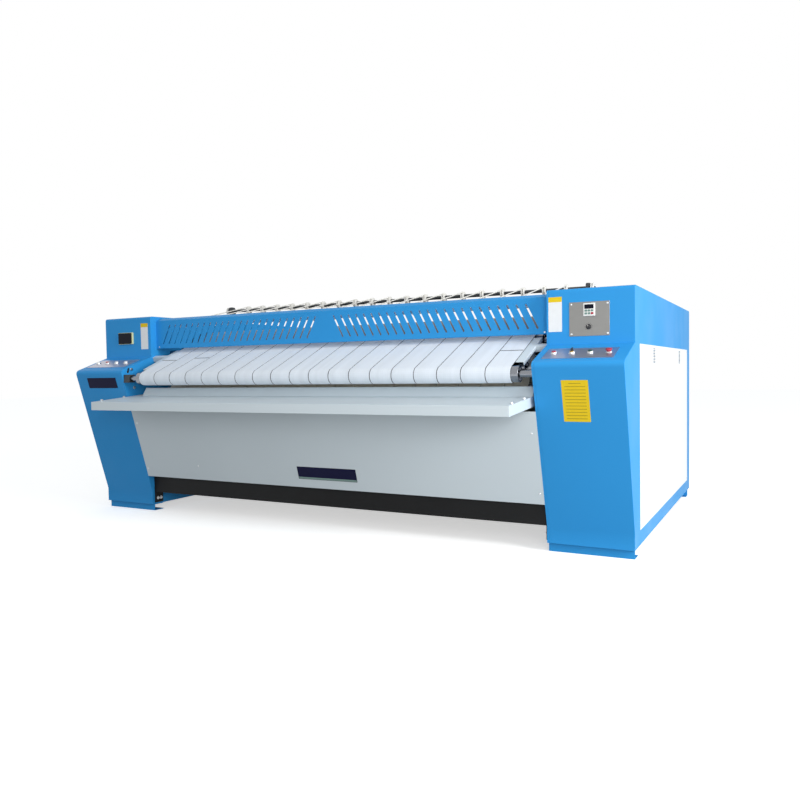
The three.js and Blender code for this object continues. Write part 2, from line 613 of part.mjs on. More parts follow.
function frontGuardGeometry() {
  const sheet = drawn(guardShape(), -BETWEEN_X, BETWEEN_X);
  const slots = [-1, 1].flatMap((outward) =>
    Array.from({ length: SLOTS_PER_SIDE }, (_, i) =>
      slotCutter(outward * (FIRST_SLOT_X + i * SLOT_PITCH), outward),
    ),
  );
  return cut(sheet, ...slots);
}

function rearGuardGeometry() {
  const front = drawn(guardShape(), -BETWEEN_X, BETWEEN_X);
  return front.rotateZ(Math.PI).translate(0, CABINET_DEPTH, 0);
}

function frontPanelGeometry() {
  const foot = at(leaningFrontY(FRONT_PANEL_BOTTOM_Z), FRONT_PANEL_BOTTOM_Z);
  const top = at(leaningFrontY(FRONT_PANEL_TOP_Z), FRONT_PANEL_TOP_Z);
  const bends = [at(top.x + HEM, top.y), top, foot, at(foot.x + HEM, foot.y)];
  return drawn(sheetShape(bends), -BETWEEN_X, BETWEEN_X);
}

function rearPanelGeometry() {
  const bends = [
    at(REAR_PANEL_Y - HEM, FRONT_PANEL_BOTTOM_Z),
    at(REAR_PANEL_Y, FRONT_PANEL_BOTTOM_Z),
    at(REAR_PANEL_Y, REAR_PANEL_TOP_Z),
    at(REAR_PANEL_Y - HEM, REAR_PANEL_TOP_Z),
  ];
  return drawn(sheetShape(bends), -BETWEEN_X, BETWEEN_X);
}

// A square tube across the machine. A plate at each end is bolted to the end frame and reaches down.
function beamGeometry(frontY) {
  const y = [frontY, frontY + BEAM_DEPTH];
  const z = [BEAM_BOTTOM_Z, BEAM_TOP_Z];
  const bar = block([-BETWEEN_X, BETWEEN_X], y, z);
  const bore = block(
    [-INNER_X, INNER_X],
    [y[0] + BEAM_WALL, y[1] - BEAM_WALL],
    [z[0] + BEAM_WALL, z[1] - BEAM_WALL],
  );
  const plates = [-1, 1].map((side) =>
    block(spanOn(side, BETWEEN_X - BRACKET_THICKNESS, BETWEEN_X), y, [BRACKET_FOOT_Z, BEAM_TOP_Z]),
  );
  return cut(joined(bar, ...plates), bore);
}

// ---- Feed table: lip, sloping top and upstand from one sheet, with end flanges that run back as arms
function feedTableGeometry() {
  const half = INNER_X - TABLE_SIDE_GAP;
  const lipFoot = TABLE_FRONT_Z - TABLE_LIP;
  const slope = (TABLE_REAR_Z - TABLE_FRONT_Z) / (TABLE_REAR_Y - TABLE_FRONT_Y);
  const armTopZ = TABLE_FRONT_Z + slope * (TABLE_ARM_REAR_Y - TABLE_FRONT_Y);
  const bends = [
    at(TABLE_FRONT_Y + HEM, lipFoot),
    at(TABLE_FRONT_Y, lipFoot),
    at(TABLE_FRONT_Y, TABLE_FRONT_Z),
    at(TABLE_REAR_Y, TABLE_REAR_Z),
  ];
  const sheet = drawn(sheetShape(bends.reverse()), -half, half);
  const upstandBends = [
    at(UPSTAND_TOP_Y, UPSTAND_TOP_Z),
    at(TABLE_REAR_Y, TABLE_REAR_Z),
    at(TABLE_FRONT_Y, TABLE_FRONT_Z),
  ];
  const upstand = drawn(sheetShape(upstandBends), UPSTAND_LEFT_GAP - INNER_X, half);
  const armOutline = new THREE.Shape([
    at(TABLE_FRONT_Y, lipFoot),
    at(TABLE_ARM_REAR_Y, armTopZ - TABLE_LIP),
    at(TABLE_ARM_REAR_Y, armTopZ),
    at(TABLE_REAR_Y, TABLE_REAR_Z),
    at(TABLE_FRONT_Y, TABLE_FRONT_Z),
  ]);
  const spacer = {
    y: [TABLE_ARM_REAR_Y - ARM_SPACER_DEPTH, TABLE_ARM_REAR_Y],
    z: [armTopZ - TABLE_LIP + ARM_SPACER_MARGIN, armTopZ - ARM_SPACER_MARGIN],
  };
  const ends = [-1, 1].flatMap((side) => [
    drawn(armOutline, ...spanOn(side, half - SHEET * 2, half)),
    block(spanOn(side, half - SHEET, BETWEEN_X), spacer.y, spacer.z),
  ]);
  return joined(sheet, upstand, ...ends);
}

function outfeedTableGeometry() {
  const bends = [
    at(OUTFEED_TOP_Y, OUTFEED_TOP_Z),
    at(OUTFEED_REAR_Y, OUTFEED_REAR_Z),
    at(OUTFEED_REAR_Y, OUTFEED_REAR_Z - OUTFEED_LIP),
  ];
  return drawn(sheetShape(bends.reverse()), -BETWEEN_X, BETWEEN_X);
}

// ---- Feed conveyor
const FEED_PULLEYS = [NOSE_ROLLER, TENSION_ROLLER, REAR_FEED_ROLLER].map((roller) => ({
  ...roller,
  radius: FEED_ROLLER_RADIUS,
}));

function feedBeltsGeometry() {
  const arcStep = Math.PI / 9;
  const belts = drawn(beltShape(FEED_PULLEYS, FEED_BELT_THICKNESS, arcStep), BELTS_LEFT_X, BELTS_RIGHT_X);
  const floor = FEED_BELT_THICKNESS - BELT_GROOVE_DEPTH;
  const ring = beltShape(FEED_PULLEYS, FEED_BELT_THICKNESS, arcStep, floor, FEED_BELT_THICKNESS + 1);
  const grooves = Array.from({ length: BELT_COUNT - 1 }, (_, i) => {
    const right = BELTS_LEFT_X + (i + 1) * BELT_PITCH;
    return drawn(ring, right - BELT_GAP, right);
  });
  return cut(belts, ...grooves);
}

// A plain roller with a journal at each end.
function rollerGeometry(centre, radius, left, right, shaftRadius, sides = 20) {
  const profile = [
    [0, -SHAFT_END_X],
    [shaftRadius, -SHAFT_END_X],
    [shaftRadius, left],
    [radius, left],
    [radius, right],
    [shaftRadius, right],
    [shaftRadius, SHAFT_END_X],
    [0, SHAFT_END_X],
  ];
  return turned(profile, centre, sides);
}

function feedRollerGeometry(centre) {
  const left = BELTS_LEFT_X - ROLLER_OVERHANG;
  const right = BELTS_RIGHT_X + ROLLER_OVERHANG;
  return rollerGeometry(centre, FEED_ROLLER_RADIUS, left, right, FEED_SHAFT_RADIUS, 24);
}

function guideRollerGeometry(centre) {
  const left = BELTS_LEFT_X - ROLLER_OVERHANG;
  const right = BELTS_RIGHT_X + ROLLER_OVERHANG;
  return rollerGeometry(centre, GUIDE_ROLLER_RADIUS, left, right, GUIDE_SHAFT_RADIUS);
}

// The plate that the belts slide on, its side flanges, and the square beam across the machine under it.
function sliderBedGeometry() {
  const top = FEED_ROLLER_RADIUS;
  const start = upTheFeed(BED_START_UP_SLOPE, top);
  const end = upTheFeed(BED_END_UP_SLOPE, top);
  const left = BELTS_LEFT_X - BED_MARGIN;
  const right = BELTS_RIGHT_X + BED_MARGIN;
  const plate = drawn(sheetShape([at(end.y, end.z), at(start.y, start.z)]), left, right);
  const flangeShape = sheetShape([at(end.y, end.z), at(start.y, start.z)], BED_FLANGE);
  const beamFoot = upTheFeed(BED_BEAM_UP_SLOPE, top - SHEET - BED_BEAM_SIDE);
  const beamTop = upTheFeed(BED_BEAM_UP_SLOPE, top - SHEET + 1);
  const beam = drawn(
    sheetShape([at(beamTop.y, beamTop.z), at(beamFoot.y, beamFoot.z)], BED_BEAM_SIDE),
    -BETWEEN_X,
    BETWEEN_X,
  );
  const leftFlange = drawn(flangeShape, left, left + SHEET);
  const rightFlange = drawn(flangeShape, right - SHEET, right);
  return joined(plate, leftFlange, rightFlange, beam);
}

// The block on the left inner wall that holds the front roller's journal.
function rollerBearingGeometry() {
  const x = [-BETWEEN_X, -BETWEEN_X + ROLLER_BEARING_WIDTH];
  const y = [NOSE_ROLLER_Y - ROLLER_BEARING_DEPTH / 2, NOSE_ROLLER_Y + ROLLER_BEARING_DEPTH / 2];
  const z = [NOSE_ROLLER_Z - ROLLER_BEARING_HEIGHT / 2, NOSE_ROLLER_Z + ROLLER_BEARING_HEIGHT / 2];
  return cut(block(x, y, z), holeAlongX(NOSE_ROLLER, FEED_SHAFT_RADIUS, x));
}

// ---- Drums
function drumGeometry(y) {
  const half = DRUM_LENGTH / 2;
  const web = half - DRUM_WEB_INSET;
  const inside = web - DRUM_WALL;
  const shaftEnd = SPROCKET_X - SPROCKET_WIDTH;
  const shaftRight = SHAFT_END_X + BEARING_WIDTH + SPROCKET_WIDTH;
  const rim = DRUM_RADIUS - DRUM_WALL;
  const profile = [
    [DRUM_SHAFT_BORE, shaftEnd],
    [DRUM_SHAFT_RADIUS, shaftEnd],
    [DRUM_SHAFT_RADIUS, -half],
    [DRUM_HUB_RADIUS, -half],
    [DRUM_HUB_RADIUS, -web],
    [rim, -web],
    [rim, -half],
    [DRUM_RADIUS, -half],
    [DRUM_RADIUS, half],
    [rim, half],
    [rim, web],
    [DRUM_HUB_RADIUS, web],
    [DRUM_HUB_RADIUS, half],
    [DRUM_SHAFT_RADIUS, half],
    [DRUM_SHAFT_RADIUS, shaftRight],
    [DRUM_SHAFT_BORE, shaftRight],
    [DRUM_SHAFT_BORE, inside],
    [rim, inside],
    [rim, -inside],
    [DRUM_SHAFT_BORE, -inside],
    [DRUM_SHAFT_BORE, shaftEnd],
  ];
  return turned(profile, { y, z: DRUM_Z }, 36);
}

function drumBearingGeometry(side, y) {
  const x = spanOn(side, SHAFT_END_X + CLEAR, SHAFT_END_X + BEARING_WIDTH);
  const centre = { y, z: DRUM_Z };
  const housing = turned([[0, x[0]], [BEARING_RADIUS, x[0]], [BEARING_RADIUS, x[1]], [0, x[1]]], centre, 24);
  return cut(housing, holeAlongX(centre, DRUM_SHAFT_RADIUS, x, 24));
}

const IRONING_PULLEYS = [
  { ...LOWER_FRONT_ROLLER, radius: GUIDE_ROLLER_RADIUS },
  { ...LOWER_REAR_ROLLER, radius: GUIDE_ROLLER_RADIUS },
  { ...EXIT_ROLLER, radius: GUIDE_ROLLER_RADIUS },
  { y: REAR_DRUM_Y, z: DRUM_Z, radius: DRUM_RADIUS, turn: -1 },
  { y: FRONT_DRUM_Y, z: DRUM_Z, radius: DRUM_RADIUS, turn: -1 },
  { ...ENTRY_ROLLER, radius: GUIDE_ROLLER_RADIUS },
  { ...FRONT_RETURN_ROLLER, radius: GUIDE_ROLLER_RADIUS },
];

// ---- Drive
function sprocketGeometry({ y, z }, tipRadius, shaftRadius, teeth) {
  const outline = Array.from({ length: teeth * 4 }, (_, i) => {
    const angle = (i / (teeth * 4)) * 2 * Math.PI;
    const radius = i % 4 < 2 ? tipRadius : tipRadius - TOOTH_DEPTH;
    return at(radius * Math.cos(angle), radius * Math.sin(angle));
  });
  const shape = new THREE.Shape(outline);
  shape.holes.push(holePath({ y: 0, z: 0 }, shaftRadius));
  const half = SPROCKET_WIDTH / 2;
  return drawn(shape, SPROCKET_X - half, SPROCKET_X + half).translate(0, y, z);
}

const CHAIN_PULLEYS = [
  { y: MOTOR_Y, z: MOTOR_Z, radius: MOTOR_SPROCKET_TIP_RADIUS },
  { y: REAR_DRUM_Y, z: DRUM_Z, radius: SPROCKET_TIP_RADIUS },
  { y: FRONT_DRUM_Y, z: DRUM_Z, radius: SPROCKET_TIP_RADIUS },
];

function motorSprocketGeometry() {
  const teeth = Math.round((SPROCKET_TEETH * MOTOR_SPROCKET_TIP_RADIUS) / SPROCKET_TIP_RADIUS);
  const wheel = sprocketGeometry({ y: 0, z: 0 }, MOTOR_SPROCKET_TIP_RADIUS, MOTOR_SHAFT_RADIUS / 2, teeth);
  const from = SPROCKET_X - SPROCKET_WIDTH;
  const to = -MOTOR_SHAFT_END_X;
  const shaft = turned([[0, from], [MOTOR_SHAFT_RADIUS, from], [MOTOR_SHAFT_RADIUS, to], [0, to]]);
  return joined(wheel, shaft).translate(0, MOTOR_Y, MOTOR_Z);
}

// A gearbox bolted to the left end frame with its motor lying behind it.
function gearMotorGeometry() {
  const x = spanOn(-1, SHAFT_END_X + CLEAR, SHAFT_END_X + GEARBOX_SIZE.x);
  const box = block(
    x,
    [MOTOR_Y - GEARBOX_SIZE.y / 2, MOTOR_Y + GEARBOX_SIZE.y / 2],
    [MOTOR_Z - GEARBOX_SIZE.z / 2, MOTOR_Z + GEARBOX_SIZE.z / 2],
  );
  const can = turnedUpright([[0, 0], [MOTOR_RADIUS, 0], [MOTOR_RADIUS, MOTOR_LENGTH], [0, MOTOR_LENGTH]], 20);
  can.rotateX(-Math.PI / 2).translate((x[0] + x[1]) / 2, MOTOR_Y, MOTOR_Z);
  const shaftHole = holeAlongX({ y: MOTOR_Y, z: MOTOR_Z }, MOTOR_SHAFT_RADIUS, [x[0], -MOTOR_SHAFT_END_X]);
  return cut(joined(box, can), shaftHole);
}

// ---- Cord guides
function ringProfile(x, shaftRadius) {
  const half = RING_WIDTH / 2;
  return [
    [shaftRadius, x - half],
    [RING_RADIUS, x - half],
    [RING_GROOVE_RADIUS, x],
    [RING_RADIUS, x + half],
    [shaftRadius, x + half],
  ];
}

// A tube between the brackets with a stub at each end, and a grooved ring for each cord.
function guideShaftGeometry() {
  const tubeEnd = SHAFT_BRACKET_X - SHAFT_BRACKET_WIDTH;
  const rings = Array.from({ length: RING_COUNT }, (_, i) => FIRST_RING_X + i * RING_PITCH);
  const profile = [
    [0, -GUIDE_SHAFT_END_X],
    [GUIDE_STUB_RADIUS, -GUIDE_SHAFT_END_X],
    ...ringProfile(-END_RING_X, GUIDE_STUB_RADIUS),
    [GUIDE_STUB_RADIUS, -tubeEnd],
    [GUIDE_TUBE_RADIUS, -tubeEnd],
    ...rings.flatMap((x) => ringProfile(x, GUIDE_TUBE_RADIUS)),
    [GUIDE_TUBE_RADIUS, tubeEnd],
    [GUIDE_STUB_RADIUS, tubeEnd],
    ...ringProfile(END_RING_X, GUIDE_STUB_RADIUS),
    [GUIDE_STUB_RADIUS, GUIDE_SHAFT_END_X],
    [0, GUIDE_SHAFT_END_X],
  ];
  return turned(profile, { y: GUIDE_SHAFT_Y, z: GUIDE_SHAFT_Z }, 12);
}

function shaftBracketGeometry(side) {
  const foot = CABINET_HEIGHT + CLEAR;
  const top = GUIDE_SHAFT_Z + SHAFT_BRACKET_RADIUS;
  const outline = roundedShape([
    { at: at(GUIDE_SHAFT_Y - SHAFT_BRACKET_FOOT / 2, foot) },
    { at: at(GUIDE_SHAFT_Y + SHAFT_BRACKET_FOOT / 2, foot) },
    { at: at(GUIDE_SHAFT_Y + SHAFT_BRACKET_RADIUS, top), radius: SHAFT_BRACKET_ROUNDING },
    { at: at(GUIDE_SHAFT_Y - SHAFT_BRACKET_RADIUS, top), radius: SHAFT_BRACKET_ROUNDING },
  ]);
  outline.holes.push(holePath({ y: GUIDE_SHAFT_Y, z: GUIDE_SHAFT_Z }, GUIDE_STUB_RADIUS));
  const half = SHAFT_BRACKET_WIDTH / 2;
  return drawn(outline, ...spanOn(side, SHAFT_BRACKET_X - half, SHAFT_BRACKET_X + half), 8);
}

// ---- Consoles
const PLATE_TOP = CLEAR + CONSOLE_PLATE_THICKNESS;

// Places a group's own frame on the console slope: x along the machine, y up the slope, z square to it.
function onConsole(group) {
  group.position.set(0, NOSE_Y, NOSE_Z);
  group.rotation.x = CONSOLE_TILT;
  return group;
}

function consoleWindow({ left, right, low, high }) {
  const margin = CONSOLE_WINDOW_MARGIN;
  const cutter = block(
    [left + margin, right - margin],
    [low + margin, high - margin],
    [-CASING_WALL * 3, CASING_WALL * 2],
  );
  return cutter.rotateX(CONSOLE_TILT).translate(0, NOSE_Y, NOSE_Z);
}

function buttonXs({ left, right, firstButton, lastButton }) {
  const first = left + firstButton;
  const last = right - lastButton;
  return Array.from({ length: BUTTONS_PER_CONSOLE }, (_, i) =>
    THREE.MathUtils.lerp(first, last, i / (BUTTONS_PER_CONSOLE - 1)),
  );
}

function consolePlateGeometry(spec) {
  const plate = block([spec.left, spec.right], [spec.low, spec.high], [CLEAR, PLATE_TOP]);
  const radius = holeRadius(BUTTON_RADIUS, UPRIGHT_SIDES);
  const through = [[0, -1], [radius, -1], [radius, PLATE_TOP + 1], [0, PLATE_TOP + 1]];
  return cut(plate, ...buttonXs(spec).map((x) => turnedUpright(through).translate(x, spec.row, 0)));
}

function pushButtonGeometry() {
  return turnedUpright([
    [0, PLATE_TOP - BUTTON_STEM],
    [BUTTON_RADIUS, PLATE_TOP - BUTTON_STEM],
    [BUTTON_RADIUS, PLATE_TOP + BUTTON_HEIGHT - BUTTON_CHAMFER],
    [BUTTON_RADIUS - BUTTON_CHAMFER, PLATE_TOP + BUTTON_HEIGHT],
    [0, PLATE_TOP + BUTTON_HEIGHT],
  ]);
}

function mushroomButtonGeometry() {
  const headFoot = PLATE_TOP + BUTTON_HEIGHT;
  return turnedUpright([
    [0, PLATE_TOP - BUTTON_STEM],
    [BUTTON_RADIUS, PLATE_TOP - BUTTON_STEM],
    [BUTTON_RADIUS, headFoot],
    [MUSHROOM.radius, headFoot],
    [MUSHROOM.radius, headFoot + MUSHROOM.edge],
    [MUSHROOM.crownRadius, headFoot + MUSHROOM.height],
    [0, headFoot + MUSHROOM.height],
  ]);
}

function selectorGeometry() {
  const { front, back, width, height, sunk } = SELECTOR_LEVER;
  const foot = PLATE_TOP + BUTTON_HEIGHT - sunk;
  const lever = block([-width / 2, width / 2], [-front, back], [foot, foot + height]);
  return joined(pushButtonGeometry(), lever);
}

function consoleGroup(name, spec, controls) {
  const group = onConsole(new THREE.Group());
  group.add(named(`${name}_console_plate`, consolePlateGeometry(spec), STAINLESS));
  const xs = buttonXs(spec);
  controls.forEach(([controlName, geometry, material], i) => {
    const control = named(controlName, geometry, material);
    control.position.set(xs[i], spec.row, 0);
    group.add(control);
  });
  return group;
}

// ---- Head of the right and of the left cabinet
const PLATE_LEFT = INNER_X + CONTROL_PLATE.across;
const PLATE_BOTTOM = HEAD_FOOT_Z + CONTROL_PLATE.up;

function controlWindow() {
  const margin = CONTROL_WINDOW_MARGIN;
  return block(
    [PLATE_LEFT + margin, PLATE_LEFT + CONTROL_PLATE.width - margin],
    [-CASING_WALL, CASING_WALL * 3],
    [PLATE_BOTTOM + margin, PLATE_BOTTOM + CONTROL_PLATE.height - margin],
  );
}

function controlPlateGeometry() {
  const { width, height, thickness } = CONTROL_PLATE;
  const plate = block(
    [PLATE_LEFT, PLATE_LEFT + width],
    [-CLEAR - thickness, -CLEAR],
    [PLATE_BOTTOM, PLATE_BOTTOM + height],
  );
  const radius = holeRadius(SPEED_KNOB.radius, UPRIGHT_SIDES);
  const far = CLEAR + thickness + 1;
  return cut(plate, onKnobAxis([[0, -1], [radius, -1], [radius, far], [0, far]]));
}

// A turned piece on the speed knob's axis, from [radius, how far out of the head's front face] pairs.
function onKnobAxis(profile) {
  const x = PLATE_LEFT + SPEED_KNOB.across;
  const z = PLATE_BOTTOM + SPEED_KNOB.up;
  return turnedUpright(profile).rotateX(Math.PI / 2).translate(x, 0, z);
}

function speedKnobGeometry() {
  const { across, up, radius, height } = SPEED_KNOB;
  const face = CLEAR + CONTROL_PLATE.thickness + height;
  const back = -CASING_WALL * 3;
  const body = onKnobAxis([[0, back], [radius, back], [radius, face], [0, face]]);
  const x = PLATE_LEFT + across;
  const z = PLATE_BOTTOM + up;
  const half = KNOB_POINTER.width / 2;
  const pointer = block([x - half, x + half], [-face - 1, -face + KNOB_POINTER.depth], [z, z + radius + 1]);
  return cut(body, pointer);
}

function keypadGeometry() {
  const left = PLATE_LEFT + KEYPAD.across;
  const bottom = PLATE_BOTTOM + KEYPAD.up;
  const back = -CLEAR * 2 - CONTROL_PLATE.thickness;
  return block(
    [left, left + KEYPAD.width],
    [back - KEYPAD.thickness, back],
    [bottom, bottom + KEYPAD.height],
  );
}

function displayGeometry() {
  const { across, up, width, height, thickness, rim, glassInset } = DISPLAY;
  const x = [-INNER_X - across - width, -INNER_X - across];
  const z = [HEAD_FOOT_Z + up, HEAD_FOOT_Z + up + height];
  const body = block(x, [-CLEAR - thickness, -CLEAR], z);
  const face = [-CLEAR - thickness - 1, -CLEAR - thickness + glassInset];
  return cut(body, block([x[0] + rim, x[1] - rim], face, [z[0] + rim, z[1] - rim]));
}

// ---- The machine
const machine = new THREE.Group();
machine.position.y = -FRAME_MIDDLE_Y; // the part's frame has its origin under the middle of the machine
const ironer = new THREE.Group();
ironer.add(machine);

machine.add(cabinet(-1, "left", [consoleWindow(LEFT_CONSOLE)]));
machine.add(cabinet(1, "right", [consoleWindow(RIGHT_CONSOLE), controlWindow()]));

machine.add(named("front_guard", frontGuardGeometry(), BLUE_PAINT));
machine.add(named("rear_guard", rearGuardGeometry(), BLUE_PAINT));
machine.add(named("front_panel", frontPanelGeometry(), GREY_PAINT));
machine.add(named("rear_panel", rearPanelGeometry(), GREY_PAINT));
machine.add(named("base_beam", beamGeometry(BEAM_FRONT_Y), BLACK_PAINT));
machine.add(named("rear_beam", beamGeometry(BEAM_REAR_Y), BLACK_PAINT));
machine.add(named("feed_table", feedTableGeometry(), GREY_PAINT));
machine.add(named("outfeed_table", outfeedTableGeometry(), GREY_PAINT));

machine.add(named("feed_belts", feedBeltsGeometry(), WHITE_CANVAS));
machine.add(named("front_feed_roller", feedRollerGeometry(NOSE_ROLLER), CHROMED_STEEL));
machine.add(named("rear_feed_roller", feedRollerGeometry(REAR_FEED_ROLLER), CHROMED_STEEL));
machine.add(named("tension_roller", feedRollerGeometry(TENSION_ROLLER), CHROMED_STEEL));
machine.add(named("slider_bed", sliderBedGeometry(), GREY_PAINT));
machine.add(named("left_roller_bearing", rollerBearingGeometry(), CAST_IRON));

for (const [name, y] of [["front", FRONT_DRUM_Y], ["rear", REAR_DRUM_Y]]) {
  const centre = { y, z: DRUM_Z };
  machine.add(named(`${name}_drum`, drumGeometry(y), CHROMED_STEEL));
  machine.add(named(`${name}_drum_bearing_left`, drumBearingGeometry(-1, y), CAST_IRON));
  machine.add(named(`${name}_drum_bearing_right`, drumBearingGeometry(1, y), CAST_IRON));
  const sprocket = sprocketGeometry(centre, SPROCKET_TIP_RADIUS, DRUM_SHAFT_RADIUS, SPROCKET_TEETH);
  machine.add(named(`${name}_drum_sprocket`, sprocket, MACHINED_STEEL));
}

const ironingShape = beltShape(IRONING_PULLEYS, IRONING_BELT_THICKNESS, Math.PI / 24);
machine.add(named("ironing_belts", drawn(ironingShape, BELTS_LEFT_X, BELTS_RIGHT_X), BEIGE_CANVAS));
machine.add(named("entry_roller", guideRollerGeometry(ENTRY_ROLLER), MACHINED_STEEL));
machine.add(named("front_return_roller", guideRollerGeometry(FRONT_RETURN_ROLLER), MACHINED_STEEL));
machine.add(named("lower_front_roller", guideRollerGeometry(LOWER_FRONT_ROLLER), MACHINED_STEEL));
machine.add(named("lower_rear_roller", guideRollerGeometry(LOWER_REAR_ROLLER), MACHINED_STEEL));
machine.add(named("exit_roller", guideRollerGeometry(EXIT_ROLLER), MACHINED_STEEL));

const chainShape = beltShape(CHAIN_PULLEYS, CHAIN_DEPTH, Math.PI / 10);
const chain = drawn(chainShape, SPROCKET_X - CHAIN_WIDTH / 2, SPROCKET_X + CHAIN_WIDTH / 2);
machine.add(named("drive_chain", chain, CAST_IRON));
machine.add(named("motor_sprocket", motorSprocketGeometry(), MACHINED_STEEL));
machine.add(named("gear_motor", gearMotorGeometry(), CAST_IRON));

machine.add(named("guide_shaft", guideShaftGeometry(), MACHINED_STEEL));
machine.add(named("left_shaft_bracket", shaftBracketGeometry(-1), MACHINED_STEEL));
machine.add(named("right_shaft_bracket", shaftBracketGeometry(1), MACHINED_STEEL));
const cordRod = [
  [0, -SHAFT_END_X],
  [CORD_ROD_RADIUS, -SHAFT_END_X],
  [CORD_ROD_RADIUS, SHAFT_END_X],
  [0, SHAFT_END_X],
];
machine.add(named("cord_rod", turned(cordRod, { y: CORD_ROD_Y, z: CORD_ROD_Z }, 16), CHROMED_STEEL));

machine.add(
  consoleGroup(
    "left",
    LEFT_CONSOLE,
    [1, 2, 3, 4].map((i) => [`left_button_${i}`, pushButtonGeometry(), WHITE_PLASTIC]),
  ),
);
machine.add(
  consoleGroup("right", RIGHT_CONSOLE, [
    ["right_button_red", pushButtonGeometry(), RED_PLASTIC],
    ["selector_switch", selectorGeometry(), BLACK_PLASTIC],
    ["right_button_green", pushButtonGeometry(), GREEN_PLASTIC],
    ["stop_button", mushroomButtonGeometry(), RED_PLASTIC],
  ]),
);
machine.add(named("control_plate", controlPlateGeometry(), STAINLESS));
machine.add(named("keypad_unit", keypadGeometry(), WHITE_PLASTIC));
machine.add(named("speed_knob", speedKnobGeometry(), BLACK_PLASTIC));
machine.add(named("left_display", displayGeometry(), BLACK_PLASTIC));

export default ironer;
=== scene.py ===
"""Dresses the frame of a two-roll flatwork ironer: finishes, belts, rollers, cords, controls and studio.

Metres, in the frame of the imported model: x runs along the rolls, y from the feed side to the back, z up,
and the origin lies on the floor under the middle of the machine.
"""

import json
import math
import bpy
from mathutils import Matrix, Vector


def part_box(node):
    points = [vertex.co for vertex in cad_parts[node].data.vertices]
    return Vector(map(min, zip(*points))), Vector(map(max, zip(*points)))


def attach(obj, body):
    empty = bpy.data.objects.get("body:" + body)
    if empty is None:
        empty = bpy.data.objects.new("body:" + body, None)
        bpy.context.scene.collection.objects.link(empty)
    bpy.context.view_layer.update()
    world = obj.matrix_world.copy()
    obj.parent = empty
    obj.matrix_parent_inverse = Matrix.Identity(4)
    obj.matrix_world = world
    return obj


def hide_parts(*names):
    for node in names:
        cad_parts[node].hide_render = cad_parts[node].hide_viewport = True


bl_info = {
    "name": "Flatwork ironer",
    "version": (1, 0, 0),
    "blender": (4, 5, 0),
    "location": "View3D > Sidebar > Ironer",
    "description": "Dresses the frame of a flatwork ironer with its finishes, belts, cords and controls",
    "category": "Add Mesh",
}

import bmesh
import bpy
from bpy.props import FloatProperty, FloatVectorProperty, IntProperty, PointerProperty
from mathutils import Matrix, Vector

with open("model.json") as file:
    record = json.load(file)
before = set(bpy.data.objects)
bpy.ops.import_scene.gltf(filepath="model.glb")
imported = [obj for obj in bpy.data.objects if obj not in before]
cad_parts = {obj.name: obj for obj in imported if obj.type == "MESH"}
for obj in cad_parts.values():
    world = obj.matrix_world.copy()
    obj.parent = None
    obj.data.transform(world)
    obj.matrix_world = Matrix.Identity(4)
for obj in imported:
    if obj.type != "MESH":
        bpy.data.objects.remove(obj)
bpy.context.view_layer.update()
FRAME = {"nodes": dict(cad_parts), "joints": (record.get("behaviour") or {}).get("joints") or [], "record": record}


# ---- Places that the frame gives


def low(node):
    return Vector(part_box(node)[0])


def high(node):
    return Vector(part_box(node)[1])


def middle(node):
    return (low(node) + high(node)) / 2


def radius_of(node):
    return (high(node).z - low(node).z) / 2


CLEAR = 0.0003  # between two fixed pieces that meet
INNER_X = low("right_end_frame").x  # the faces that the two end frames turn to each other
HEAD_Y = high("control_plate").y + CLEAR  # the upright front of the cabinet heads
GUARD_Y = low("front_guard").y
SHEET = 0.003  # thickness of the folded covers
SKIRT_FRONT = Vector((HEAD_Y - 0.024, 0.151))  # where the leaning front begins, as y and z
NOSE = Vector((HEAD_Y - 0.297, 1.085))  # the fold between the leaning front and the console slope
LEAN = (NOSE.x - SKIRT_FRONT.x) / (NOSE.y - SKIRT_FRONT.y)
LEAN_FACING = Vector((0, -1, LEAN)).normalized()
HEAD_FACING = Vector((0, -1, 0))
SLOPE_FACING = -Vector(next(j["axis"] for j in FRAME["joints"] if j["name"] == "left_button_1_press"))
UP_SLOPE = SLOPE_FACING.cross(Vector((1, 0, 0)))
UP = Vector((0, 0, 1))
LEAN_UP = Vector((0, LEAN, 1)).normalized()
BURIED = 0.0004  # how far a screw head sinks into its face
BELT_SPAN = (low("feed_belts").x, high("feed_belts").x)
BODY_OF = {node: body for body, nodes in FRAME["record"]["behaviour"]["bodies"].items() for node in nodes}


def on_lean(x, z, out=0.0):
    """A point on the plane of the leaning fronts, moved out of it by a distance."""
    return Vector((x, SKIRT_FRONT.x + LEAN * (z - SKIRT_FRONT.y), z)) + LEAN_FACING * out


# ---- Colours, sizes and counts that a user would change


def srgb(code):
    """A colour as linear RGB from its sRGB hex value."""
    channels = [int(code[i : i + 2], 16) / 255 for i in (1, 3, 5)]
    return [c / 12.92 if c <= 0.04045 else ((c + 0.055) / 1.055) ** 2.4 for c in channels]


def colour(name, code, description):
    return FloatVectorProperty(
        name=name, description=description, default=srgb(code), subtype="COLOR", min=0, max=1
    )


def length(name, default, description):
    return FloatProperty(name=name, description=description, default=default, unit="LENGTH")


def share(name, default, description):
    return FloatProperty(name=name, description=description, default=default, min=0, max=1)


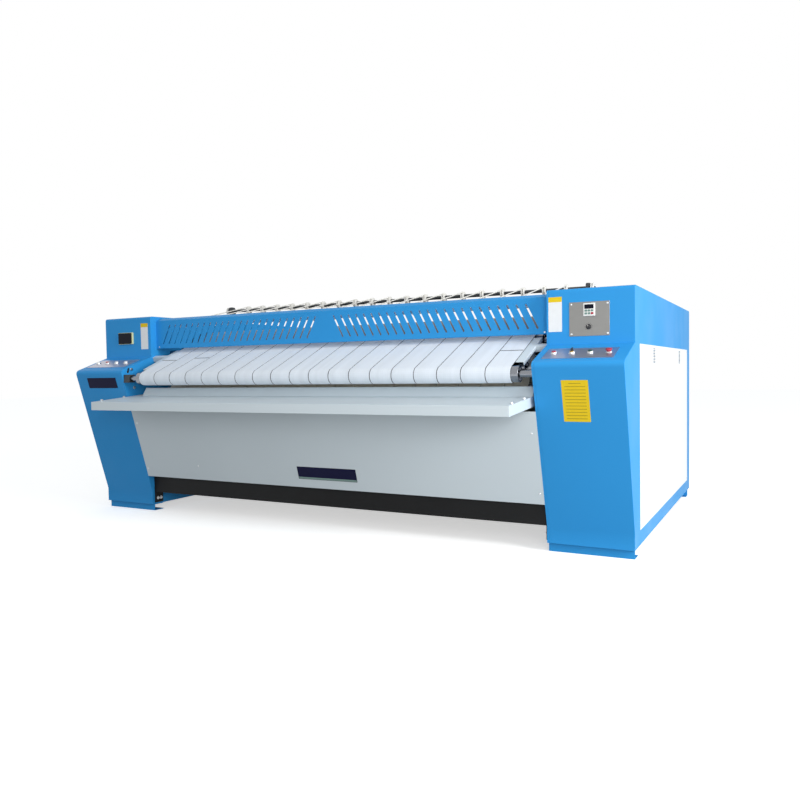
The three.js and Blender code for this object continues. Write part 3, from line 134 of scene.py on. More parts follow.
class IronerColours(bpy.types.PropertyGroup):
    blue: colour("Blue enamel", "#2F96DA", "Cabinets, guards and plinths")
    white: colour("White enamel", "#EEF2F5", "Side panels")
    grey: colour("Grey enamel", "#D3DEE4", "Front panel and feed table")
    black: colour("Black enamel", "#08090B", "Base beams")
    canvas: colour("Feed belt canvas", "#E4ECF5", "Woven belts that carry the linen in")
    felt: colour("Ironing belt felt", "#E6DCC8", "Needled belts that press the linen to the drums")
    cord: colour("Guide cord", "#EDEBE4", "Braided cords round the guide rings")
    steel: colour("Turned steel", "#C4C6C8", "Shafts and rollers")
    stainless: colour("Brushed stainless", "#8F8F8D", "Console and control plates")
    iron: colour("Cast iron", "#4A4D50", "Bearings, chain and motor")
    label_yellow: colour("Yellow vinyl", "#E8C81C", "Bare stickers on the right cabinet")
    label_white: colour("White vinyl", "#EDEFF0", "Bare stickers beside the guard")


class IronerBelts(bpy.types.PropertyGroup):
    count: IntProperty(name="Belts", description="Belts side by side", default=19, min=1)
    gap: length("Gap", 0.004, "Between two belts")
    feed_thickness: length("Feed belt thickness", 0.004, "Of the canvas")
    ironing_thickness: length("Ironing belt thickness", 0.005, "Of the felt")
    edge_radius: length("Edge rounding", 0.0012, "Of a belt's long edges")
    joint_length: length("Joint length", 0.007, "Of the lacing that closes a belt, along the belt")
    joint_height: length("Joint height", 0.0008, "How far the lacing stands on the belt")


class IronerGuard(bpy.types.PropertyGroup):
    slots: IntProperty(name="Slots per side", description="Slanted slots on each half", default=24, min=1)
    first: length("First slot", 0.072, "From the middle to the top of the innermost slot")
    last: length("Last slot", 0.0698, "From the foot of the outermost slot to the cabinet")
    margin: length("Margin", 0.033, "Above and below the slots")
    lean: length("Lean", 0.075, "How far a slot's foot lies outwards of its top")
    width: length("Slot width", 0.012, "Across a slot")
    fold: length("Fold height", 0.020, "Of the strip that leans back at the top")
    hem: length("Hem", 0.022, "Of the fold at the lower edge")


class IronerCords(bpy.types.PropertyGroup):
    rings: IntProperty(name="Rings", description="Guide rings between the brackets", default=19, min=2)
    first: length("First ring", 0.182, "From the left cabinet to the first ring")
    last: length("Last ring", 0.1444, "From the last ring to the right cabinet")
    outer: length("Outer rings", 0.036, "Rings outside the brackets, from the cabinets' inner faces")
    ring_width: length("Ring width", 0.024, "Along the shaft")
    tube_radius: length("Tube radius", 0.013, "Of the guide shaft between its brackets")
    stub_radius: length("Stub radius", 0.010, "Of the guide shaft in its brackets")
    cord_diameter: length("Cord diameter", 0.008, "Of the braided cord")


class IronerControls(bpy.types.PropertyGroup):
    bezel_radius: length("Bezel radius", 0.0185, "Of the ring round a button")
    bezel_height: length("Bezel height", 0.006, "Above its plate")
    button_radius: length("Button radius", 0.012, "Of a button's cap")
    mushroom_radius: length("Mushroom radius", 0.017, "Of the stop button's head")
    knob_radius: length("Knob radius", 0.014, "Of the speed knob")


class IronerFasteners(bpy.types.PropertyGroup):
    screw_radius: length("Screw radius", 0.006, "Of a pan head")
    screw_height: length("Screw height", 0.003, "Of a pan head")
    bolt_radius: length("Bolt radius", 0.009, "Across the corners of a hexagon head, halved")
    bolt_height: length("Bolt height", 0.009, "Of a hexagon head")


class IronerStage(bpy.types.PropertyGroup):
    floor: colour("Floor", "#F4F4F3", "Floor and backdrop")
    floor_size: length("Floor size", 60.0, "Side of the floor")
    key_power: FloatProperty(name="Key light", description="Power in watts", default=430.0, min=0)
    fill_power: FloatProperty(name="Fill light", description="Power in watts", default=150.0, min=0)
    sky: FloatProperty(name="Sky", description="Strength of the even light", default=0.5, min=0)
    bounce: share("Floor bounce", 0.4, "How pale the floor is for the light it throws back")
    glow: share("Floor glow", 0.55, "White that only the camera and mirrors see")


GROUPS = {
    "ironer_colours": IronerColours,
    "ironer_belts": IronerBelts,
    "ironer_guard": IronerGuard,
    "ironer_cords": IronerCords,
    "ironer_controls": IronerControls,
    "ironer_fasteners": IronerFasteners,
    "ironer_stage": IronerStage,
}


# ---- Materials


def add_node(tree, kind, inputs=None, **settings):
    """Adds a node with its settings, and its inputs from values or from other nodes' outputs."""
    node = tree.nodes.new(kind)
    for name, value in settings.items():
        setattr(node, name, value)
    for socket, value in (inputs or {}).items():
        if isinstance(value, bpy.types.NodeSocket):
            tree.links.new(value, node.inputs[socket])
        else:
            node.inputs[socket].default_value = value
    return node


def new_material(name):
    """An empty node material, its tree and its shader."""
    material = bpy.data.materials.new(name)
    material.use_nodes = True
    tree = material.node_tree
    return material, tree, tree.nodes["Principled BSDF"]


def set_inputs(shader, **values):
    for name, value in values.items():
        socket = shader.inputs[name.replace("_", " ")]
        socket.default_value = (*value, 1) if hasattr(value, "__len__") else value


def noise(tree, cell, stretch=(1, 1, 1), detail=2.0):
    """Even random mottling whose cells are about that many metres across, longer where stretch is above 1."""
    place = add_node(tree, "ShaderNodeTexCoord").outputs["Object"]
    scale = [1 / cell / s for s in stretch]
    mapped = add_node(tree, "ShaderNodeMapping", {"Vector": place, "Scale": scale}).outputs["Vector"]
    inputs = {"Vector": mapped, "Scale": 1.0, "Detail": detail}
    return add_node(tree, "ShaderNodeTexNoise", inputs).outputs["Fac"]


def ranged(tree, value, lowest, highest):
    """Stretches the middle of a noise over a range."""
    return add_node(
        tree,
        "ShaderNodeMapRange",
        {"Value": value, "From Min": 0.3, "From Max": 0.7, "To Min": lowest, "To Max": highest},
    ).outputs["Result"]


def mixed(tree, factor, first, second):
    """A colour between two, each a linear colour or another node's output."""
    ends = [end if isinstance(end, bpy.types.NodeSocket) else (*end, 1) for end in (first, second)]
    return add_node(tree, "ShaderNodeMix", {0: factor, 6: ends[0], 7: ends[1]}, data_type="RGBA").outputs[2]


def bumped(tree, shader, height, distance, strength):
    inputs = {"Height": height, "Distance": distance, "Strength": strength}
    tree.links.new(add_node(tree, "ShaderNodeBump", inputs).outputs["Normal"], shader.inputs["Normal"])


def across(tree, output="Object"):
    """The x of a point of the piece, or of its normal."""
    place = add_node(tree, "ShaderNodeTexCoord").outputs[output]
    return add_node(tree, "ShaderNodeSeparateXYZ", {"Vector": place}).outputs["X"]


def wave(tree, pitch, distortion, detail, bands):
    """Stripes that many metres apart, over the piece's x and the way along its path."""
    along = add_node(tree, "ShaderNodeAttribute", attribute_name="along").outputs["Fac"]
    flat = add_node(tree, "ShaderNodeCombineXYZ", {"X": across(tree), "Y": along}).outputs["Vector"]
    inputs = {"Vector": flat, "Scale": 0.16 / pitch, "Distortion": distortion, "Detail": detail}
    return add_node(tree, "ShaderNodeTexWave", inputs, bands_direction=bands).outputs["Fac"]


def shade(rgb, factor):
    return [channel * factor for channel in rgb]


def surface(name, rgb, cloud, tones, gloss=None, relief=None, **inputs):
    """A material whose colour, gloss and relief follow noises, each given by its cell, stretch and detail.

    The colour runs between two tones. gloss adds the lowest and highest roughness, relief depth and strength.
    """
    material, tree, shader = new_material(name)
    set_inputs(shader, **inputs)
    colour_socket = mixed(tree, noise(tree, *cloud), *(shade(rgb, tone) for tone in tones))
    tree.links.new(colour_socket, shader.inputs["Base Color"])
    if gloss:
        tree.links.new(ranged(tree, noise(tree, *gloss[0]), *gloss[1:]), shader.inputs["Roughness"])
    if relief:
        bumped(tree, shader, noise(tree, *relief[0]), *relief[1:])
    return material


def enamel(name, rgb, roughness, coat=0.0):
    """Stoving enamel sprayed on sheet steel: an even colour under a soft gloss, with a faint orange peel."""
    gloss = (0.35,), roughness - 0.05, roughness + 0.06
    # Real orange peel is about 3 mm from crest to crest, and is drawn at 6 mm so that it shows.
    peel = (0.006,), 0.00012, 0.5
    finish = {"Specular_IOR_Level": 0.22, "Coat_Weight": coat, "Coat_Roughness": 0.25}
    return surface(name, rgb, (0.9, (1, 1, 1), 1.0), (0.965, 1.03), gloss, peel, **finish)


def belt_gap_shaded_enamel(name, rgb, gap_shade):
    """Enamelled sheet painted dark where the belts run over it: painted shade, so that the gaps between the belts
    read as shadowed.
    """
    material, tree, shader = new_material(name)
    set_inputs(shader, Specular_IOR_Level=0.35)
    span = {0: across(tree), 1: sum(BELT_SPAN) / 2, 2: (BELT_SPAN[1] - BELT_SPAN[0]) / 2}
    under = add_node(tree, "ShaderNodeMath", span, operation="COMPARE").outputs[0]
    tree.links.new(mixed(tree, under, rgb, gap_shade), shader.inputs["Base Color"])
    tree.links.new(ranged(tree, noise(tree, 0.05), 0.4, 0.6), shader.inputs["Roughness"])
    return material


def woven(name, rgb):
    """Cotton canvas: a plain weave, with faint lengthwise bands where the linen has polished it."""
    material, tree, shader = new_material(name)
    set_inputs(shader, Roughness=0.82, Sheen_Weight=0.25, Sheen_Roughness=0.5, Specular_IOR_Level=0.25)
    # The threads are 1 mm apart in the real canvas, and are drawn 6 mm apart so that they show.
    warp, weft = (wave(tree, 0.006, 0.6, 1.0, bands) for bands in "XY")
    weave = add_node(tree, "ShaderNodeMath", {0: warp, 1: weft}, operation="MULTIPLY").outputs["Value"]
    bands = noise(tree, 0.05, stretch=(1, 14, 14), detail=3.0)
    cloth = mixed(tree, ranged(tree, bands, 0.0, 1.0), shade(rgb, 0.93), shade(rgb, 1.02))
    threads = mixed(tree, ranged(tree, weave, 0.0, 0.10), cloth, shade(rgb, 0.6))
    # Each belt's side faces are painted dark: painted shade in the narrow gaps, which draws the lines between the
    # belts.
    facing = {0: across(tree, "Normal"), 1: 0.0, 2: 0.4}
    face = add_node(tree, "ShaderNodeMath", facing, operation="COMPARE").outputs[0]
    tree.links.new(mixed(tree, face, srgb("#23262B"), threads), shader.inputs["Base Color"])
    bumped(tree, shader, weave, 0.0004, 0.6)
    return material


def felt(name, rgb):
    """Needled felt: matt and slightly fleecy, scorched a little darker in patches."""
    fleece = (0.004, (1, 1, 1), 4.0), 0.0008, 0.7
    cloth = {"Roughness": 0.95, "Sheen_Weight": 0.4, "Sheen_Roughness": 0.6, "Specular_IOR_Level": 0.15}
    return surface(name, rgb, (0.12, (1, 5, 5), 4.0), (0.82, 1.05), None, fleece, **cloth)


def brushed(name, rgb, roughness=0.34):
    """Stainless sheet ground along x: fine straight scratches that spread the light across them."""
    scratches = 0.0012, (60, 1, 1), 3.0
    gloss = scratches, roughness - 0.06, roughness + 0.1
    return surface(name, rgb, scratches, (0.86, 1.08), gloss, (scratches, 0.00006, 0.6), Metallic=1.0)


def turned_metal(name, rgb, roughness=0.22):
    """Steel turned in a lathe and polished: fine rings round the axis, which lies along x."""
    rings = 0.0016, (1, 80, 80), 2.0
    gloss = rings, roughness - 0.05, roughness + 0.08
    return surface(name, rgb, rings, (0.9, 1.05), gloss, (rings, 0.00005, 0.5), Metallic=1.0)


def cast(name, rgb):
    """Grey iron cast in sand and oiled: coarse grain, uneven gloss."""
    grain = 0.005, (1, 1, 1), 4.0
    metal = {"Metallic": 0.6, "Specular_IOR_Level": 0.4}
    return surface(name, rgb, grain, (0.75, 1.15), (grain, 0.5, 0.7), (grain, 0.0006, 0.6), **metal)


def moulded(name, rgb, roughness):
    """Injection-moulded ABS: a fine spark-eroded grain over an even colour."""
    gloss = (0.0015,), roughness - 0.04, roughness + 0.05
    return surface(name, rgb, (0.05,), (0.96, 1.03), gloss, ((0.0015,), 0.00008, 0.5), IOR=1.53)


def vinyl(name, rgb, gloss=0.3):
    """Printed vinyl film: flat colour, satin, with the faint ripple of a sticker laid by hand."""
    film = {"Specular_IOR_Level": gloss, "Roughness": 0.5}
    return surface(name, rgb, (0.03,), (0.95, 1.02), None, ((0.02,), 0.0003, 0.4), **film)


def braided(name, rgb):
    """Braided cotton cord: strands that cross at a slant, a little darker in the hollows."""
    material, tree, shader = new_material(name)
    set_inputs(shader, Roughness=0.85, Sheen_Weight=0.3, Specular_IOR_Level=0.2)
    strands = wave(tree, 0.012, 0.4, 2.0, "DIAGONAL")
    tree.links.new(mixed(tree, strands, shade(rgb, 0.8), rgb), shader.inputs["Base Color"])
    bumped(tree, shader, strands, 0.0008, 0.7)
    return material


def screen_glass(name, rgb):
    """A dark tinted window over a lamp display: smooth, with a faint smear."""
    return surface(name, rgb, (0.02,), (0.8, 1), ((0.03,), 0.06, 0.16), Specular_IOR_Level=0.12)


def make_finishes(colours):
    """Every finish of the machine, by its name."""
    rgb = {name: list(getattr(colours, name)) for name in colours.bl_rna.properties.keys()[2:]}
    return {
        "blue": enamel("Blue stoving enamel", rgb["blue"], roughness=0.5, coat=0.0),
        "white": enamel("White stoving enamel", rgb["white"], roughness=0.4, coat=0.2),
        "grey": enamel("Pale grey stoving enamel", rgb["grey"], roughness=0.4, coat=0.2),
        "black": enamel("Black stoving enamel", rgb["black"], roughness=0.6, coat=0.0),
        # The bed's dark band under the belts is painted shade for the gaps between them.
        "bed": belt_gap_shaded_enamel("Grey enamel, rubbed dark under the belts", rgb["grey"], srgb("#1E2022")),
        "canvas": woven("White woven canvas", rgb["canvas"]),
        "felt": felt("Beige needled felt", rgb["felt"]),
        "cord": braided("White braided cotton cord", rgb["cord"]),
        "steel": turned_metal("Turned and polished steel", rgb["steel"]),
        "drum": turned_metal("Ground drum steel", srgb("#5C5E61"), roughness=0.38),
        "roller": turned_metal("Polished roller steel", srgb("#8C8F95"), roughness=0.16),
        "console": brushed("Console stainless", srgb("#B4B6C4")),
        "zinc": turned_metal("Zinc-plated steel", shade(rgb["steel"], 1.15), roughness=0.28),
        "brass": turned_metal("Turned brass", srgb("#B8944A"), roughness=0.3),
        "stainless": brushed("Brushed stainless steel", rgb["stainless"]),
        "iron": cast("Oiled cast iron", rgb["iron"]),
        "white_abs": moulded("White moulded ABS", srgb("#F0F0EC"), roughness=0.3),
        "cream_abs": moulded("Cream moulded ABS", srgb("#D9DBA8"), roughness=0.4),
        "black_abs": moulded("Black moulded ABS", srgb("#15161A"), roughness=0.42),
        "grey_abs": moulded("Grey moulded ABS", srgb("#6E8A84"), roughness=0.45),
        "red_abs": moulded("Red moulded ABS", srgb("#A81E38"), roughness=0.25),
        "green_abs": moulded("Dark green moulded ABS", srgb("#12403A"), roughness=0.25),
        "nylon": moulded("Turned white nylon", srgb("#E4E2DC"), roughness=0.45),
        "screen": screen_glass("Tinted display window", srgb("#0B1020")),
        "yellow_vinyl": vinyl("Yellow printed vinyl", rgb["label_yellow"]),
        "white_vinyl": vinyl("White printed vinyl", rgb["label_white"]),
        "dark_vinyl": vinyl("Dark engraved laminate", srgb("#04062E"), gloss=0.12),
        "rule_ink": vinyl("Olive printing ink", srgb("#A3901A")),
        "hole": moulded("Unlit hollow", srgb("#08090B"), roughness=0.9),
    }


FINISHES = {}


# ---- Making pieces


def skin(bm, rings, closed=False):
    """Joins rings of equally many points by quads, a single point as a pole. Returns the rings' vertices."""
    made = [[bm.verts.new(point) for point in ring] for ring in rings]
    pairs = list(zip(made, made[1:] + made[:1])) if closed else list(zip(made, made[1:]))
    for one, other in pairs:
        count = max(len(one), len(other))
        for i in range(count):
            j = (i + 1) % count
            corners = [one[i % len(one)], one[j % len(one)], other[j % len(other)], other[i % len(other)]]
            bm.faces.new(dict.fromkeys(corners))
    return made


def prism(bm, one, other):
    """A closed prism between two equal outlines."""
    for ring in skin(bm, [one, other]):
        bm.faces.new(ring)
    bmesh.ops.recalc_face_normals(bm, faces=bm.faces)


def lathe(profile, sides, place):
    """A turned mesh from (radius, along) pairs. place turns (along, across, up) into a point."""
    bm = bmesh.new()
    rings = []
    for radius, along in profile:
        if radius == 0:
            rings.append([place(along, 0, 0)])
            continue
        turns = [2 * math.pi * i / sides for i in range(sides)]
        rings.append([place(along, radius * math.cos(a), radius * math.sin(a)) for a in turns])
    skin(bm, rings, closed=profile[0][0] > 0)
    bmesh.ops.recalc_face_normals(bm, faces=bm.faces)
    return bm


def eased(profile, radius, steps=3):
    """A profile of (radius, along) pairs with its inner corners rounded, as far as there is room."""
    points = [Vector(p) for p in profile]
    out = [points[0]]
    for before, corner, after in zip(points, points[1:], points[2:]):
        room = min((before - corner).length, (after - corner).length) / 2.2
        reach = min(radius, room)
        start = corner + (before - corner).normalized() * reach
        end = corner + (after - corner).normalized() * reach
        for i in range(steps + 1):
            t = i / steps
            out.append(start * (1 - t) ** 2 + corner * 2 * t * (1 - t) + end * t * t)
    out.append(points[-1])
    return [tuple(p) for p in out]


def along_x(centre):
    return lambda along, across, up: Vector((along, centre.y + across, centre.z + up))


def out_of(origin, facing, up):
    """Places what is turned on an axis that points out of a face."""
    side = up.cross(facing)
    return lambda along, across, rise: origin + facing * along + side * across + up * rise


def block(bm, origin, facing, up, width, height, depth, radius=0.0, sink=0.0, steps=4):
    """A plate with rounded corners that stands on a face, from sink under it to depth above it."""
    side = up.cross(facing)
    outline = rounded_corners(width, height, radius, steps)
    rings = [[origin + side * x + up * z + facing * out for x, z in outline] for out in (-sink, depth)]
    prism(bm, *rings)


CORNERS = ((-1, -1), (1, -1), (1, 1), (-1, 1))  # of a rectangle, anticlockwise


def plain(bm, name):
    """The mesh of a bmesh, with its faces turned outwards."""
    bmesh.ops.recalc_face_normals(bm, faces=bm.faces)
    mesh = bpy.data.meshes.new(name)
    bm.to_mesh(mesh)
    bm.free()
    return mesh


def rounded_corners(width, height, radius, steps=4):
    """The outline of a rectangle with rounded corners, anticlockwise."""
    if radius <= 0:
        return [(sx * width / 2, sz * height / 2) for sx, sz in CORNERS]
    points = []
    for quarter, (sx, sz) in enumerate(CORNERS[1:] + CORNERS[:1]):
        centre = Vector((sx * (width / 2 - radius), sz * (height / 2 - radius)))
        for i in range(steps + 1):
            angle = math.pi / 2 * (quarter - 1 + i / steps)
            points.append(centre + Vector((math.cos(angle), math.sin(angle))) * radius)
    return [tuple(p) for p in points]


def finished(source, name, finish, body, replaced=(), angle=32, bevel=0.0, flat=False):
    """Makes a bmesh or a mesh into a piece: smooth shading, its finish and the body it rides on."""
    mesh = plain(source, name) if isinstance(source, bmesh.types.BMesh) else source
    mesh.shade_smooth()
    mesh.set_sharp_from_angle(angle=math.radians(angle))
    piece = bpy.data.objects.new(name, mesh)
    bpy.context.scene.collection.objects.link(piece)
    mesh.materials.clear()
    mesh.materials.append(FINISHES[finish])
    if bevel:
        edges = piece.modifiers.new("Edges", "BEVEL")
        edges.width = bevel
        edges.segments = 2
        edges.limit_method = "ANGLE"
        edges.angle_limit = math.radians(angle)
        edges.use_clamp_overlap = True
    if bevel or flat:
        normals = piece.modifiers.new("Flat faces", "WEIGHTED_NORMAL")
        normals.keep_sharp = True
    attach(piece, body)
    if replaced:
        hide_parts(*replaced)
    return piece


def refined(node, finish, bevel):
    """Stands for a node of the frame: its own mesh, merged, with its sharp edges eased as on folded sheet."""
    bm = bmesh.new()
    bm.from_mesh(FRAME["nodes"][node].data)
    bmesh.ops.remove_doubles(bm, verts=bm.verts, dist=1e-5)
    bmesh.ops.dissolve_limit(bm, angle_limit=math.radians(0.5), verts=bm.verts, edges=bm.edges)
    mesh = bpy.data.meshes.new(node + "_finished")
    bm.to_mesh(mesh)
    bm.free()
    return finished(mesh, node + "_finished", finish, BODY_OF[node], [node], 32, bevel)


# ---- Node trees for what repeats


def new_tree(name, **inputs):
    """A geometry tree and its inputs. Each keyword is a kind of socket, and lists the labels of that kind."""
    tree = bpy.data.node_groups.new(name, "GeometryNodeTree")
    rows = [("Geometry", "INPUT", "Geometry")]
    rows += [(label, "INPUT", kind) for kind, labels in inputs.items() for label in labels.split(", ")]
    rows.append(("Geometry", "OUTPUT", "Geometry"))
    for label, way, kind in rows:
        tree.interface.new_socket(label, in_out=way, socket_type="NodeSocket" + kind)
    return tree, add_node(tree, "NodeGroupInput").outputs


def close_tree(tree, geometry, material):
    """Ends a tree: realized, with its material set."""
    real = add_node(tree, "GeometryNodeRealizeInstances", {"Geometry": geometry}).outputs["Geometry"]
    done = add_node(tree, "GeometryNodeSetMaterial", {"Geometry": real, "Material": material})
    add_node(tree, "NodeGroupOutput", {"Geometry": done.outputs["Geometry"]})
    return tree


def grow(tree, mesh, **values):
    """The plain mesh that a tree makes of a mesh. Underscores in the names of values stand for spaces."""
    holder = bpy.data.objects.new("Holder", mesh)
    bpy.context.scene.collection.objects.link(holder)
    modifier = holder.modifiers.new("Tree", "NODES")
    modifier.node_group = tree
    sockets = {item.name: item.identifier for item in tree.interface.items_tree if item.in_out == "INPUT"}
    for name, value in values.items():
        modifier[sockets[name.replace("_", " ")]] = value
    result = bpy.data.meshes.new_from_object(holder.evaluated_get(bpy.context.evaluated_depsgraph_get()))
    holder.modifiers.remove(modifier)
    bpy.data.objects.remove(holder)
    return result


def row_points(tree, start, step, count):
    """A row of points along x."""
    first = add_node(tree, "ShaderNodeCombineXYZ", {"X": start}).outputs["Vector"]
    pace = add_node(tree, "ShaderNodeCombineXYZ", {"X": step}).outputs["Vector"]
    return add_node(
        tree, "GeometryNodeMeshLine", {"Count": count, "Start Location": first, "Offset": pace}
    ).outputs["Mesh"]


def belts_tree(material):
    """Flat belts side by side, each a rounded strip swept round the path that comes in."""
    floats = "Width, Thickness, Edge radius, Start, Pitch"
    tree, given = new_tree("Belts side by side", Float=floats, Int="Count")
    section = {"Width": given["Width"], "Height": given["Thickness"]}
    outline = add_node(tree, "GeometryNodeCurvePrimitiveQuadrilateral", section).outputs["Curve"]
    edges = {"Curve": outline, "Radius": given["Edge radius"], "Count": 2, "Limit Radius": True}
    profile = add_node(tree, "GeometryNodeFilletCurve", edges, mode="POLY").outputs["Curve"]
    sweep = swept(tree, given["Geometry"], profile)
    points = row_points(tree, given["Start"], given["Pitch"], given["Count"])
    copies = add_node(tree, "GeometryNodeInstanceOnPoints", {"Points": points, "Instance": sweep})
    return close_tree(tree, copies.outputs["Instances"], material)


def swept(tree, path, profile):
    """Sweeps a profile along a path in a plane of y and z, and keeps the way along it as an attribute."""
    line = add_node(tree, "GeometryNodeMeshToCurve", {"Mesh": path}).outputs["Curve"]
    inputs = {"Curve": line, "Normal": (1.0, 0.0, 0.0)}
    upright = add_node(tree, "GeometryNodeSetCurveNormal", inputs, mode="FREE").outputs["Curve"]
    way = add_node(tree, "GeometryNodeSplineParameter").outputs["Length"]
    inputs = {"Geometry": upright, "Name": "along", "Value": way}
    kind = {"data_type": "FLOAT", "domain": "POINT"}
    marked = add_node(tree, "GeometryNodeStoreNamedAttribute", inputs, **kind).outputs["Geometry"]
    inputs = {"Curve": marked, "Profile Curve": profile}
    return add_node(tree, "GeometryNodeCurveToMesh", inputs).outputs["Mesh"]


def cords_tree(material):
    """A round cord swept round the path that comes in, one at each vertex of a row object."""
    tree, given = new_tree("Cords on their rings", Float="Diameter", Object="Row")
    halved = {0: given["Diameter"], 1: 0.5}
    radius = add_node(tree, "ShaderNodeMath", halved, operation="MULTIPLY").outputs["Value"]
    section = {"Resolution": 10, "Radius": radius}
    circle = add_node(tree, "GeometryNodeCurvePrimitiveCircle", section).outputs["Curve"]
    row = add_node(tree, "GeometryNodeObjectInfo", {"Object": given["Row"]}).outputs["Geometry"]
    cord = swept(tree, given["Geometry"], circle)
    copies = add_node(tree, "GeometryNodeInstanceOnPoints", {"Points": row, "Instance": cord})
    return close_tree(tree, copies.outputs["Instances"], material)


def row_tree(name, material):
    """The mesh that comes in, once at each vertex of a row object."""
    tree, given = new_tree(name, Object="Row")
    row = add_node(tree, "GeometryNodeObjectInfo", {"Object": given["Row"]}).outputs["Geometry"]
    inputs = {"Points": row, "Instance": given["Geometry"]}
    copies = add_node(tree, "GeometryNodeInstanceOnPoints", inputs)
    return close_tree(tree, copies.outputs["Instances"], material)


def fasteners_tree(material):
    """A head object on each vertex that comes in, turned to the vertex's facing attribute."""
    tree, given = new_tree("Fasteners on faces", Object="Head")
    head = add_node(tree, "GeometryNodeObjectInfo", {"Object": given["Head"]}).outputs["Geometry"]
    kind = "GeometryNodeInputNamedAttribute"
    facing = add_node(tree, kind, {"Name": "facing"}, data_type="FLOAT_VECTOR").outputs["Attribute"]
    turn = add_node(tree, "FunctionNodeAlignRotationToVector", {"Vector": facing}, axis="Z").outputs[0]
    inputs = {"Points": given["Geometry"], "Instance": head, "Rotation": turn}
    copies = add_node(tree, "GeometryNodeInstanceOnPoints", inputs)
    return close_tree(tree, copies.outputs["Instances"], material)


def slots_tree(material):
    """A sheet with a row of slots cut out of each half."""
    labels = ("Cutter", "Mirrored cutter")
    tree, given = new_tree("Slots in a guard", Object=", ".join(labels), Float="First, Pitch", Int="Slots")
    settings = {"operation": "DIFFERENCE", "solver": "EXACT"}
    cut = add_node(tree, "GeometryNodeMeshBoolean", {"Mesh 1": given["Geometry"]}, **settings)
    for label, way in zip(labels, (1.0, -1.0)):
        cutter = add_node(tree, "GeometryNodeObjectInfo", {"Object": given[label]}).outputs["Geometry"]
        start, step = (
            add_node(tree, "ShaderNodeMath", {0: given[size], 1: way}, operation="MULTIPLY").outputs[0]
            for size in ("First", "Pitch")
        )
        row = row_points(tree, start, step, given["Slots"])
        copies = add_node(tree, "GeometryNodeInstanceOnPoints", {"Points": row, "Instance": cutter})
        instances = {"Geometry": copies.outputs["Instances"]}
        real = add_node(tree, "GeometryNodeRealizeInstances", instances)
        tree.links.new(real.outputs["Geometry"], cut.inputs["Mesh 2"])
    return close_tree(tree, cut.outputs["Mesh"], material)


def links_tree(material):
    """Chain links along the path that comes in, one for each pitch."""
    tree, given = new_tree("Links along a chain", Object="Link", Float="Pitch")
    line = add_node(tree, "GeometryNodeMeshToCurve", {"Mesh": given["Geometry"]}).outputs["Curve"]
    inputs = {"Curve": line, "Length": given["Pitch"]}
    spaced = add_node(tree, "GeometryNodeResampleCurve", inputs, mode="LENGTH").outputs["Curve"]
    tangent = add_node(tree, "GeometryNodeInputTangent").outputs["Tangent"]
    turn = add_node(tree, "FunctionNodeAlignRotationToVector", {"Vector": tangent}, axis="Y").outputs[0]
    link = add_node(tree, "GeometryNodeObjectInfo", {"Object": given["Link"]}).outputs["Geometry"]
    inputs = {"Points": spaced, "Instance": link, "Rotation": turn}
    copies = add_node(tree, "GeometryNodeInstanceOnPoints", inputs)
    return close_tree(tree, copies.outputs["Instances"], material)


def path_mesh(points):
    """A closed line through (y, z) points as a mesh of edges."""
    mesh = bpy.data.meshes.new("Path")
    edges = [(i, (i + 1) % len(points)) for i in range(len(points))]
    mesh.from_pydata([(0, y, z) for y, z in points], edges, [])
    return mesh


def helper(name, mesh):
    """An object that only a tree reads. It is removed afterwards."""
    made = bpy.data.objects.new(name, mesh)
    bpy.context.scene.collection.objects.link(made)
    return made


def belt_path(pulleys, offset, step=math.radians(6)):
    """The closed line of a belt's middle, as (y, z) points, round pulleys of (centre, radius, turn).

    It runs anticlockwise round pulleys that turn 1 and clockwise round those that turn -1.
    """
    rounds = [(Vector((c.y, c.z)), turn, turn * (radius + offset)) for c, radius, turn in pulleys]
    leaving = []
    for (centre, _, reach), (onward, _, onward_reach) in zip(rounds, rounds[1:] + rounds[:1]):
        between = onward - centre
        swing = math.acos((onward_reach - reach) / between.length)
        leaving.append(math.atan2(between.y, between.x) + swing)
    points = []
    for i, (centre, turn, reach) in enumerate(rounds):
        sweep = turn * ((turn * (leaving[i] - leaving[i - 1])) % (2 * math.pi))
        steps = max(1, math.ceil(abs(sweep) / step))
        for k in range(steps + 1):
            angle = leaving[i - 1] + sweep * k / steps
            points.append(centre - Vector((math.cos(angle), math.sin(angle))) * reach)
    return [tuple(point) for point in points]


# ---- Operators


class BuildFinishes(bpy.types.Operator):
    """Makes the finishes, from the colours in the panel"""

    bl_idname = "ironer.finishes"
    bl_label = "Finishes"

    def execute(self, context):
        FINISHES.update(make_finishes(context.scene.ironer_colours))
        return {"FINISHED"}


class BuildCabinets(bpy.types.Operator):
    """Finishes the cabinets, their plinths and the sheet-metal covers between them"""

    bl_idname = "ironer.cabinets"
    bl_label = "Cabinets and covers"

    def execute(self, context):
        for side in ("left", "right"):
            refined(f"{side}_end_frame", "blue", bevel=0.0015)
            refined(f"{side}_casing", "blue", bevel=0.0012)
            refined(f"{side}_side_panel", "white", bevel=0.0008)
            refined(f"{side}_front_plinth", "blue", bevel=0.001)
            refined(f"{side}_rear_foot", "blue", bevel=0.001)
        refined("rear_guard", "blue", bevel=0.001)
        for node in ("front_panel", "rear_panel", "feed_table", "outfeed_table"):
            refined(node, "grey", bevel=0.001)
        refined("slider_bed", "bed", bevel=0.001)
        for node in ("base_beam", "rear_beam"):
            refined(node, "black", bevel=0.003)
        return {"FINISHED"}


